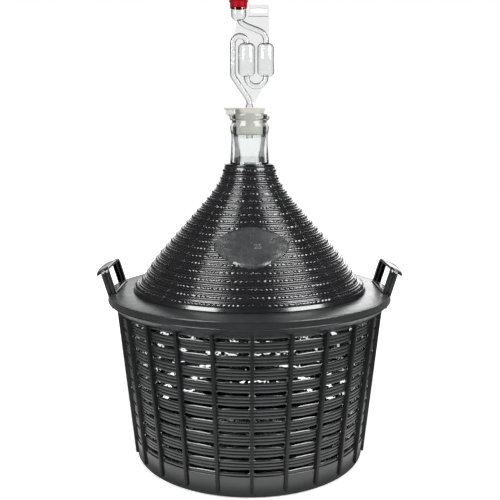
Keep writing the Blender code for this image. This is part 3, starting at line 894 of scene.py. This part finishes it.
def cone_shape():
    """The cone's skin: smooth ridges and grooves, with a plain ring at its top and foot."""
    c = sizes("cover")
    line = cover_line()
    outside = [tuple(line.at(reach, -c.groove * deep)) for reach, deep in head_line]
    starts, pitch = row_reaches(line)
    for start in starts:
        # The band follows straight after the last strand and its groove
        shares = relief_shares if start < starts[-1] else relief_shares[:3]
        outside += [tuple(line.at(start + pitch * along, -c.groove * deep)) for along, deep in shares]
    low = c.foot + c.band
    foot = rounded([
        (c.base_radius - c.groove, low, 0), (c.base_radius - 0.0021, low, 0.0008),
        (c.base_radius, c.foot + 0.0008, 0.0006), (c.base_radius, c.foot, 0.0003),
        (c.base_radius - c.groove - c.wall, c.foot, 0),
    ])
    inner = [line.at(line.length * k / 24, -c.groove - c.wall) for k in range(24)]
    inside = [(min(point.x, c.base_radius - c.groove - c.wall), point.y) for point in reversed(inner)]
    inside[-1] = (inside[-1][0], outside[0][1])
    return turned(outside + foot + inside, fine_steps)


def strands_shape():
    """The twisted strands: half-round rings whose surface swells and dips along slanting twists."""
    c = sizes("cover")
    line = cover_line()
    section = 6
    sunk = 0.95
    # How far the twists wander and their depth changes, and how quickly both do so round a strand
    wander_swing, wander_pace = 2.6, 9
    depth_swing, depth_pace = 0.0013, 13
    shapes = []
    for row, reach in enumerate(row_reaches(line)[0]):
        radius = line.at(reach).x
        twists = round(2 * math.pi * radius / c.twist)
        steps = 5 * twists
        outline = []
        for k in range(section + 1):
            across = math.cos(math.pi * k / section)
            proud = c.groove * (math.sin(math.pi * k / section) - sunk)
            outline.append(tuple(line.at(reach - across * c.strand_width / 2, proud)))
        outline.append(tuple(line.at(reach, -c.groove * 1.3)))
        shape = turned(outline, steps)
        slant = 2.2 if row % 2 else -2.2
        middle = line.at(reach)
        run = (line.at(reach + 0.001) - line.at(reach - 0.001)).normalized()
        for vert in shape.verts:
            turn = math.atan2(vert.co.y, vert.co.x)
            out = Vector((math.cos(turn), math.sin(turn)))
            flat = Vector((math.hypot(vert.co.x, vert.co.y), vert.co.z)) - middle
            across = flat.dot(run) / (c.strand_width / 2)
            wander = wander_swing * noise.noise(Vector((*out * wander_pace, row * 1.7)))
            swell = abs(math.sin(0.5 * (twists * turn + slant * across) + wander))
            depth_change = depth_swing * noise.noise(Vector((*out * depth_pace, row * 2.3)))
            depth = max(0.0003, 0.0013 + depth_change)
            lift = (swell - 0.8) * depth * max(0.0, 1 - across * across)
            normal = Vector((-run.y, run.x))
            vert.co.x += out.x * normal.x * lift
            vert.co.y += out.y * normal.x * lift
            vert.co.z += normal.y * lift
        shapes.append(shape)
    return merged(*shapes)


def seams_shape():
    """The upright seams of the cone, thin lines in its grooves, with a small nub on each strand."""
    c = sizes("cover")
    line = cover_line()
    shape = bmesh.new()
    bmesh.ops.create_grid(shape, x_segments=2, y_segments=c.rows + 1, size=0.5)
    for vert in shape.verts:
        reach = 0.004 + (line.length - 0.006) * (vert.co.y + 0.5)
        at = line.at(reach, -c.groove * (0.5 + 1.2 * abs(vert.co.x)))
        vert.co = (at.x, vert.co.x * c.seam_width, at.y)
    outward(shape)
    bmesh.ops.solidify(shape, geom=shape.faces, thickness=0.0005)
    tidy(shape)
    for reach in row_reaches(line)[0]:
        at = line.at(reach, -c.groove * 0.25)
        place = Matrix.Translation((at.x, 0, at.y))
        bmesh.ops.create_uvsphere(shape, u_segments=8, v_segments=5, radius=c.nub_radius, matrix=place)
    placed(shape, Matrix.Rotation(c.turn - math.pi / 2, 4, "Z"))
    return round_array(shape, sizes("basket").rib_count)


def outward(shape):
    """Turns the faces of an open patch on the cone to the outside."""
    bmesh.ops.recalc_face_normals(shape, faces=shape.faces)
    facing = sum(face.normal.dot(face.calc_center_median()) * face.calc_area() for face in shape.faces)
    if facing < 0:
        bmesh.ops.reverse_faces(shape, faces=shape.faces)


def on_cone(line, across, reach, proud):
    """A place on the cone, by its distance to the side of the plaque's middle and its reach."""
    at = line.at(reach, proud)
    turn = math.asin(across / at.x) - math.pi / 2 + sizes("cover").turn
    return Vector((at.x * math.cos(turn), at.x * math.sin(turn), at.y))


def plaque_middle(line):
    """The reach along the cone of the plaque's middle."""
    c = sizes("cover")
    height = c.foot + c.height * 0.415
    steps = [line.length * k / 400 for k in range(401)]
    return min(steps, key=lambda reach: abs(line.at(reach).y - height))


# How far the plaque stands out from the cone, and the depth of the seam down its middle
plaque_proud = 0.0007
plaque_seam = 0.0006


def plaque_shape():
    """The plain oval plaque, with pointed ends, soft edges and a seam down its middle."""
    c = sizes("cover")
    line = cover_line()
    middle = plaque_middle(line)
    shape = bmesh.new()
    bmesh.ops.create_grid(shape, x_segments=48, y_segments=20, size=1)
    for vert in shape.verts:
        across, along = vert.co.x, vert.co.y
        # The powers draw an oval with pointed ends
        half = max(0.0, 1 - abs(across) ** 1.75) ** 0.62
        edge = max(abs(along), abs(across))
        proud = plaque_proud if edge < 0.97 else -c.groove * 0.8
        if abs(across) < 0.01:
            proud -= plaque_seam
        vert.co = on_cone(
            line, across * c.plaque_width / 2, middle - along * half * c.plaque_length / 2, proud
        )
    bmesh.ops.remove_doubles(shape, verts=shape.verts, dist=weld)
    outward(shape)
    bmesh.ops.solidify(shape, geom=shape.faces, thickness=0.0012)
    return tidy(shape)


def digits_shape():
    """The plain capacity digits, raised on the plaque right of its seam."""
    c = sizes("cover")
    line = cover_line()
    middle = plaque_middle(line)
    text = bpy.data.curves.new("digits", "FONT")
    text.body = "25"
    text.size = c.digit_height * 1.35
    text.fill_mode = "NONE"
    text.bevel_depth = 0.00028
    text.bevel_resolution = 1
    text.resolution_u = 3
    shape = curved(text)
    for vert in shape.verts:
        across = vert.co.x + 0.0028
        reach = middle - vert.co.y + 0.003
        vert.co = on_cone(line, across, reach, plaque_proud + vert.co.z)
    return tidy(shape)


def collar_shape():
    """The flat satin ring over the rim, notched round the handles."""
    b = sizes("basket")
    c = sizes("cover")
    h = sizes("handles")
    outer = b.rim_radius - b.rim_wall - gap
    base = b.height - b.seat_depth + gap
    corners = [
        (c.collar_inner, b.height + c.collar_rise, 0.0006), (outer, b.height, 0.0007),
        (outer, base, 0), (outer - b.seat_width, base, 0),
        (c.collar_inner, b.height + c.collar_rise - c.collar_wall, 0.0006),
    ]
    ring = turned(rounded(corners), fine_steps)
    notch_height = 0.02
    notches = []
    for side in (1, -1):
        notch = bmesh.new()
        bmesh.ops.create_cube(notch, size=1)
        size = Matrix.Diagonal((2 * h.inset, 2 * (h.half_width + c.notch_gap), notch_height, 1))
        place = Matrix.Translation((side * (b.rim_radius - c.notch_gap), 0, b.height))
        notches.append(placed(notch, place @ size))
    return combined(ring, notches, "DIFFERENCE")


# The bottle's outline: across and up its base, then up and across its body, its neck and its bore
push_up_shares = ((0.0, 1.0), (0.4, 0.8), (0.66, 0.25))
body_shares = (
    (0.0, 0.76), (0.012, 0.84), (0.05, 0.925), (0.11, 0.975), (0.2, 0.995), (0.36, 1.0),
    (0.75, 1.0), (0.83, 0.995), (0.9, 0.978), (0.955, 0.937),
)
neck_shares = (
    (1.0, 0.96), (0.98, 1.0), (0.9, 0.99), (0.88, 0.9), (0.84, 0.9), (0.77, 0.975), (0.68, 0.965),
    (0.58, 0.915), (0.4, 0.92), (0.2, 0.955), (0.0, 0.99),
)
bore_shares = ((0.0, 0.86), (0.2, 0.83), (0.45, 0.92), (0.58, 0.955), (1.0, 1.0))


def bore_at(height):
    """The radius of the neck's bore at a height."""
    top = cone_high[2]
    share = (height - top) / (lip_height - top)
    for (low, start), (high, end) in zip(bore_shares, bore_shares[1:]):
        if share <= high:
            break
    return sizes("bottle").bore_radius * (start + (end - start) * (share - low) / (high - low))


def bottle_shape():
    """The bottle: a pushed-up base, a full body, a long shoulder and a thick lipped neck."""
    b = sizes("basket")
    c = sizes("cover")
    g = sizes("bottle")
    foot = b.floor_wall + gap
    top = cone_high[2]
    neck_height = lip_height - top

    def free(height):
        return (slat_outside(height) - b.slat_wall) * math.cos(math.pi / b.rib_count) - g.clearance

    base = [(free(foot) * across, foot + g.push_up * up) for across, up in push_up_shares]
    body = []
    for up, across in body_shares:
        height = foot + (b.height - foot) * up
        body.append((free(height) * across, height))
    outer = Line(cover_points())
    depth = c.groove + c.wall + g.cover_clearance
    shoulder = [tuple(outer.at(reach, -depth)) for reach in outer.reaches[2:]]
    in_collar = (c.collar_inner - g.cover_clearance, b.height + c.collar_rise - c.collar_wall)
    neck = [(g.lip_radius * across, top + neck_height * up) for up, across in neck_shares]
    below = smooth([neck[-1], *shoulder, in_collar, *reversed(body), *reversed(base)], 4)
    around = smooth(neck, 3)
    skin = Line(reversed(below))
    inside = [skin.at(skin.length * k / 90, g.wall) for k in range(90)]
    inside = [(max(point.x, 0.0), point.y) for point in inside]
    bore = [(g.bore_radius * across, top + neck_height * up) for up, across in bore_shares]
    wide = [point for point in inside[1:] if point[1] < top - 0.004]
    inner = [(0.0, inside[0][1]), *wide, *smooth(bore, 3)]
    return turned(inner + around[:-1] + below, 128, closed=False)


def bung_shape():
    """The tapered bung with its thin flange and the hole for the airlock."""
    u = sizes("bung")
    foot = lip_height - u.depth
    low = bung_top - u.flange_wall
    corners = [
        (u.bore, bung_top, 0.0003), (u.flange, bung_top, 0.0005), (u.flange, low, 0.0004),
        (u.flange - u.shoulder, low, 0.0003), (bore_at(lip_height) - gap, lip_height, 0),
        (bore_at(foot) - 2 * gap, foot, 0.001), (u.bore, foot, 0),
    ]
    return turned(rounded(corners), 96)


def plug_shape():
    """The small tapered plug and the strap that ties it to the bung."""
    u = sizes("bung")
    wall = u.flange_wall
    corners = [
        (u.plug_flange, bung_top, 0.0005), (u.plug_flange, bung_top - wall, 0.0004),
        (u.plug_radius, bung_top - wall, 0.0003), (u.plug_tip, bung_top - u.plug_length, 0.0006),
    ]
    plug = turned([(0, bung_top), *rounded(corners), (0, bung_top - u.plug_length)], 48, closed=False)
    placed(plug, Matrix.Translation((u.plug_reach, 0, 0)))
    start = u.flange + gap
    reach = u.plug_reach - u.plug_flange + 0.001 - start
    strap = bmesh.new()
    bmesh.ops.create_cube(strap, size=1)
    placed(strap, Matrix.Diagonal((reach, u.strap_width, 0.0011, 1)))
    soften(strap, strap.edges[:], 0.0003)
    placed(strap, Matrix.Translation((start + reach / 2, 0, bung_top - wall / 2)))
    return placed(merged(plug, strap), Matrix.Rotation(u.plug_angle, 4, "Z"))


# The outlet's way from the right bulb up to the cup, as shares of its run and rise
outlet_shares = (
    (0, 0), (0, 0.2), (0.09, 0.42), (0.25, 0.55), (0.5, 0.67), (0.74, 0.79), (0.91, 0.93), (1, 1.15),
)


def airlock_routes():
    """The middle lines of the airlock's three stretches of tube, in its own plane."""
    a = sizes("airlock")
    turn_x = a.bend_radius - a.riser_offset
    left = turn_x + a.bend_radius
    right = left + 2 * a.u_radius
    base = bung_top + a.bulb_foot
    top = base + a.bulb_height
    cup_x = (cap_low[0] + cap_high[0]) / 2
    rise = a.riser_foot - a.waist
    riser = smooth([
        (0, bung_top - a.stem_length), (0, bung_top - a.stem_length / 2), (0, bung_top),
        (0, bung_top + a.waist * 0.7), (-a.riser_offset * 0.06, bung_top + a.waist + rise * 0.06),
        (-a.riser_offset * 0.2, bung_top + a.waist + rise * 0.22),
        (-a.riser_offset * 0.8, bung_top + a.waist + rise * 0.8),
        (-a.riser_offset * 0.96, bung_top + a.riser_foot - rise * 0.02),
        (-a.riser_offset, bung_top + a.riser_foot + rise * 0.12),
        (-a.riser_offset, bung_top + a.riser_head - rise * 0.4),
    ], 4)
    riser += arc(turn_x, bung_top + a.riser_head, a.bend_radius, 180, 0, 14)
    riser.append((left, top - a.bulb_round))
    trap = [(left, base + a.bulb_round)]
    trap += arc(left + a.u_radius, base - 0.0003, a.u_radius, 180, 360, 20)
    trap.append((right, base + a.bulb_round))
    outlet = smooth(
        [(right + (cup_x - right) * x, top + (bung_top + a.cup_foot - top) * z) for x, z in outlet_shares], 4
    )
    outlet.insert(0, (right, top - a.bulb_round))
    return riser, trap, outlet, left, right, cup_x


def pipe(route, radius, shares=None):
    """A round tube along a route in the XZ plane, as a closed mesh shape."""
    curve = bpy.data.curves.new("pipe", "CURVE")
    curve.dimensions = "3D"
    curve.bevel_depth = radius
    curve.bevel_resolution = 6
    curve.use_fill_caps = True
    spline = curve.splines.new("POLY")
    spline.points.add(len(route) - 1)
    for i, (point, (x, z)) in enumerate(zip(spline.points, route)):
        point.co = (x, 0, z, 1)
        point.radius = shares[i] if shares else 1
    return tidy(curved(curve))


def capsule(x, radius, foot, height, rounding, open_top=False):
    """A bulb, or the cup where its top stays open."""
    low = arc(radius - rounding, foot + rounding, rounding, 0, -90, 8)
    high = arc(radius - rounding, foot + height - rounding, rounding, 90, 0, 8)
    if open_top:
        high = [(radius, foot + height)]
    shape = turned([(0, foot + height), *high, *low, (0, foot)], 40, closed=False)
    return placed(shape, Matrix.Translation((x, 0, 0)))


def airlock_bodies(shrink):
    """The tube, bulbs and cup as solids, thinner all round by the wall for their hollow."""
    a = sizes("airlock")
    riser, trap, outlet, left, right, cup_x = airlock_routes()
    radius = a.tube_radius - shrink
    stem = bung_top + a.waist * 0.5
    swells = []
    for x, z in riser:
        up = (z - bung_top + a.stem_length) / a.stem_length
        wide = a.stem_tip_radius + (a.stem_radius - a.stem_tip_radius) * min(up, 1)
        swells.append((wide - shrink) / radius if z <= stem else 1)
    if shrink:
        riser[0] = (0, riser[0][1] - 0.002)
    cup_height = a.cup_height - shrink + (0.002 if shrink else 0)
    cup_foot = bung_top + a.cup_foot + shrink
    foot = bung_top + a.bulb_foot + shrink
    height = a.bulb_height - 2 * shrink
    return [
        pipe(riser, radius, swells), pipe(trap, radius), pipe(outlet, radius),
        *[capsule(x, a.bulb_radius - shrink, foot, height, a.bulb_round - shrink) for x in (left, right)],
        capsule(cup_x, a.cup_radius - shrink, cup_foot, cup_height, a.cup_round - shrink, open_top=True),
    ]


def web_shape():
    """The flat web between the bends, with a slot to hang it by; the fold across it is added with the tube.
    """
    a = sizes("airlock")
    cup_x = (cap_low[0] + cap_high[0]) / 2
    cup_right = cup_x + a.cap_flange + 0.0004
    notch = cap_low[2] - 0.002
    top = bung_top + a.web_top
    corner = 0.003
    outline = [
        (0.0075, bung_top + 0.0085), (a.web_right, bung_top + a.bulb_foot),
        *arc(a.web_right - corner, top - corner, corner, 0, 90, 5), (cup_right, top),
        (cup_right, notch), (cup_x, notch), (-a.riser_offset, bung_top + a.riser_head),
        (-a.riser_offset, bung_top + a.riser_foot), (0, bung_top + a.waist),
    ]
    half = 0.0033
    middle = (cup_right + a.web_right) / 2
    height = top - 0.0046 - half
    reach = 0.012 - half
    hole = [
        *arc(middle + reach, height, half, -90, 60, 6), (middle + 0.0036, height + half),
        (middle + 0.0022, height + half + 0.0012), (middle + 0.0008, height + half),
        (middle - 0.0008, height + half), (middle - 0.0022, height + half + 0.0012),
        (middle - 0.0036, height + half), *arc(middle - reach, height, half, 120, 270, 6),
    ]
    return slab([outline, hole], a.web_wall)


def airlock_shape():
    """The airlock, hollow from the stem to the cup, in one with its web and the fold across it."""
    a = sizes("airlock")
    first, *others = airlock_bodies(0)
    height = bung_top + a.web_top - a.fold_drop
    fold = pipe([(cap_high[0], height), (a.web_right - a.web_wall, height)], a.web_wall)
    whole = combined(first, [*others, web_shape(), fold], "UNION")
    whole = combined(whole, airlock_bodies(a.wall), "DIFFERENCE")
    return tidy(whole)


def cap_shape():
    """The push-on cap: a skirt over the cup, a flange and a low dome."""
    a = sizes("airlock")
    under = bung_top + a.cup_foot + a.cup_height + gap
    inner = a.cup_radius + gap
    top = under + a.cap_rim
    corners = [
        (a.cap_flange * 0.6, top + a.cap_dome * 0.6, 0.002), (a.cap_flange, top, 0.0005),
        (a.cap_flange, top - a.cap_wall, 0.0004),
        (inner + a.cap_wall + 0.0004, top - 0.0027, 0.0012),
        (inner + a.cap_wall, cap_low[2], 0.0004), (inner, cap_low[2], 0), (inner, under, 0),
    ]
    outline = [(0, top + a.cap_dome), *rounded(corners), (0, under)]
    shape = turned(outline, 96, closed=False)
    return placed(shape, Matrix.Translation(((cap_low[0] + cap_high[0]) / 2, 0, 0)))


def softbox(name, power, degrees, distance, rise, width, height, glossy):
    """A softbox at an angle round from the front, that lights either the gloss or the plain shade."""
    light = bpy.data.lights.new(name, "AREA")
    light.shape = "RECTANGLE"
    light.size = width
    light.size_y = height
    light.energy = power
    item = bpy.data.objects.new(name, light)
    bpy.context.scene.collection.objects.link(item)
    turn = math.radians(degrees)
    item.location = (distance * math.sin(turn), -distance * math.cos(turn), rise)
    item.rotation_euler = (Vector((0, 0, 0.3)) - item.location).to_track_quat("-Z", "Y").to_euler()
    item.visible_camera = False
    item.visible_transmission = False
    item.visible_glossy = glossy
    item.visible_diffuse = not glossy


def rays(look):
    """1 for camera rays, for those through clear pieces and for those off glossy ones."""
    kinds = ("Camera", "Transmission", "Glossy")
    return [look.node("ShaderNodeLightPath", output="Is %s Ray" % kind) for kind in kinds]


def axes(look, place):
    return [look.node("ShaderNodeSeparateXYZ", None, {"Vector": place}, axis) for axis in "XYZ"]


def ramp(look, value, start, end, low, high):
    """A soft rise or fall between two values."""
    values = {"Value": value, "From Min": start, "From Max": end, "To Min": low, "To Max": high}
    return look.node("ShaderNodeMapRange", {"interpolation_type": "SMOOTHSTEP"}, values, "Result")


def floor_look():
    """A pale floor, white where it is seen and dim in what glosses over it, save for a painted ring of light
    round the basket's foot, with painted shade right under it.
    """
    look, shader = surface("pale_floor", Roughness=1.0, Specular_IOR_Level=0.0, Emission_Strength=1.0)
    distance = look.node("ShaderNodeVectorMath", {"operation": "LENGTH"}, {0: look.place()}, "Value")
    camera, clear, gloss = rays(look)
    look.put(shader["Base Color"], 0.9 - gloss * 0.6)
    far = ramp(look, distance, 0.3, 1.1, 0.5, 1.0)
    # Painted light in the gloss: the floor glows brighter in a ring round the basket, and not at all right
    # under it, as painted shade where the basket meets it
    painted_light_ring = ramp(look, distance, 0.17, 0.21, 0.0, 1.0) * ramp(look, distance, 0.24, 0.5, 1.2, 0.05)
    across, back, _ = axes(look, look.place())
    # Bent rays end far to the side, where it's dim, and that outlines the clear pieces
    spread = across * across / ((back + 1) * (back + 1))
    behind = ramp(look, back, -0.1, 0.4, 0.05, 0.93) * ramp(look, spread, 0.045, 0.12, 1.0, 0.08)
    look.put(shader["Emission Color"], far * camera + behind * clear + gloss * painted_light_ring)
    return look.owner


def set_world():
    """White where it is seen, a bright wall behind in the gloss, and a soft room light."""
    world = bpy.data.worlds.new("studio")
    bpy.context.scene.world = world
    look = Look(world)
    shade = look.tree.nodes["Background"]
    across, back, up = axes(look, look.node("ShaderNodeTexCoord", output="Generated"))
    wall = ramp(look, back, 0.75, 0.96, 0.0, 1.0) * ramp(look, up, 0.02, 0.14, 0.0, 1.0)
    seen_gloss = 0.05 + wall * ramp(look, across, -0.25, 0.25, 1.5, 4.1)
    within = look.node("ShaderNodeLightPath", output="Diffuse Depth") > 0.5
    seen_clear = ramp(look, back, 0.9, 0.98, 0.02, 0.93) * (1 - within) + within
    camera, clear, gloss = rays(look)
    other = gloss * seen_gloss + (1 - gloss) * sizes("stage").sky
    look.put(shade.inputs["Strength"], camera + (1 - camera) * (clear * seen_clear + (1 - clear) * other))
    look.put(shade.inputs["Color"], (1, 1, 1, 1))


class DEMIJOHN_OT_stage(bpy.types.Operator):
    """Sets the floor, the softboxes, the room light and the camera"""

    bl_idname = "demijohn.stage"
    bl_label = "Stage"

    def execute(self, context):
        s = sizes("stage")
        scene = context.scene
        scene.view_settings.view_transform = "Standard"
        floor = bmesh.new()
        bmesh.ops.create_circle(floor, cap_ends=True, segments=64, radius=6)
        item = loose(floor, "floor")
        item.data.materials.append(floor_look())
        set_world()
        # Power, angle round from the front, distance, height, width, length and use of each
        for name, *values in (
            ("softbox_left", s.key, -40, 1.8, 1.25, 0.9, 1.2, False),
            ("softbox_right", s.key, 60, 1.8, 1.25, 0.9, 1.2, False),
            ("panel_left", s.gloss, -46, 1.5, 1.3, 0.9, 1.25, True),
            ("panel_right", s.gloss * 1.15, 55, 1.5, 1.3, 1.05, 1.25, True),
        ):
            softbox(name, *values)
        camera = bpy.data.cameras.new("camera")
        camera.lens = s.lens
        camera.sensor_width = 36
        camera.shift_x = s.axis_offset
        camera.clip_start = 0.05
        eye = bpy.data.objects.new("camera", camera)
        scene.collection.objects.link(eye)
        eye.location = (0, -s.camera_distance, s.camera_height)
        eye.rotation_euler = (math.pi / 2 - s.camera_pitch, 0, 0)
        scene.camera = eye
        return {"FINISHED"}


class DEMIJOHN_OT_basket(bpy.types.Operator):
    """Adds the basket: its rim, base band, ribs, slats and handles"""

    bl_idname = "demijohn.basket"
    bl_label = "Basket"

    def execute(self, context):
        plain = moulded_plastic("basket")
        ribs = round_array(rib_shape(), sizes("basket").rib_count)
        for name, shape, look in (
            ("basket_frame", merged(rim_shape(), band_shape()), plain),
            ("basket_ribs", ribs, moulded_plastic("ribs")),
            ("basket_slats", slats_shape(), plain),
            ("handle_right", handle_shape(1), plain),
            ("handle_left", handle_shape(-1), plain),
        ):
            piece(name, shape, "basket", look, ("basket",))
        return {"FINISHED"}


class DEMIJOHN_OT_cover(bpy.types.Operator):
    """Adds the cover: its collar, its cone with the twisted strands, and the plain plaque"""

    bl_idname = "demijohn.cover"
    bl_label = "Cover"

    def execute(self, context):
        satin = moulded_plastic("collar")
        gloss = moulded_plastic("cover")
        piece("cover_collar", collar_shape(), "cover", satin, ("collar",))
        for name, shape, look, crease in (
            ("cover_skin", cone_shape(), gloss, 60),
            ("cover_strands", strands_shape(), gloss, 60),
            ("cover_seams", seams_shape(), gloss, 40),
            ("cover_plaque", plaque_shape(), moulded_plastic("plaque"), 40),
            ("plaque_digits", digits_shape(), moulded_plastic("digits"), 40),
        ):
            piece(name, shape, "cover", look, ("cover_cone",), crease)
        return {"FINISHED"}


class DEMIJOHN_OT_bottle(bpy.types.Operator):
    """Adds the glass bottle"""

    bl_idname = "demijohn.bottle"
    bl_label = "Bottle"

    def execute(self, context):
        piece("bottle", bottle_shape(), "bottle", bottle_look(), ("glass_bottle",))
        return {"FINISHED"}


class DEMIJOHN_OT_bung(bpy.types.Operator):
    """Adds the bung and its tethered plug"""

    bl_idname = "demijohn.bung"
    bl_label = "Bung and plug"

    def execute(self, context):
        look = bung_look()
        piece("tapered_bung", bung_shape(), "bung", look, ("bung",))
        piece("tethered_plug", plug_shape(), "plug", look, ("bung_plug",))
        return {"FINISHED"}


class DEMIJOHN_OT_airlock(bpy.types.Operator):
    """Adds the clear airlock and its red cap"""

    bl_idname = "demijohn.airlock"
    bl_label = "Airlock and cap"

    def execute(self, context):
        piece("airlock", airlock_shape(), "airlock", airlock_look(), ("airlock_tube",))
        piece("red_cap", cap_shape(), "cap", cap_look(), ("airlock_cap",))
        return {"FINISHED"}


operators = (
    DEMIJOHN_OT_stage, DEMIJOHN_OT_basket, DEMIJOHN_OT_cover,
    DEMIJOHN_OT_bottle, DEMIJOHN_OT_bung, DEMIJOHN_OT_airlock,
)


class DEMIJOHN_PT_panel(bpy.types.Panel):
    """Lists the demijohn's pieces and their sizes"""

    bl_idname = "DEMIJOHN_PT_panel"
    bl_label = "Demijohn"
    bl_space_type = "VIEW_3D"
    bl_region_type = "UI"
    bl_category = "Demijohn"

    def draw(self, context):
        for operator in operators:
            self.layout.operator(operator.bl_idname)
        for name, group in size_groups.items():
            box = self.layout.box()
            box.label(text=name.replace("demijohn_", "").capitalize())
            for key in group.__annotations__:
                box.prop(getattr(context.scene, name), key)


def register():
    for kind in (*size_groups.values(), *operators, DEMIJOHN_PT_panel):
        bpy.utils.register_class(kind)
    for name, group in size_groups.items():
        setattr(bpy.types.Scene, name, PointerProperty(type=group))


def unregister():
    for name in size_groups:
        delattr(bpy.types.Scene, name)
    for kind in reversed((*size_groups.values(), *operators, DEMIJOHN_PT_panel)):
        bpy.utils.unregister_class(kind)


def main():
    register()
    for operator in operators:
        group, name = operator.bl_idname.split(".")
        getattr(getattr(bpy.ops, group), name)()


if __name__ == "__main__":
    main()
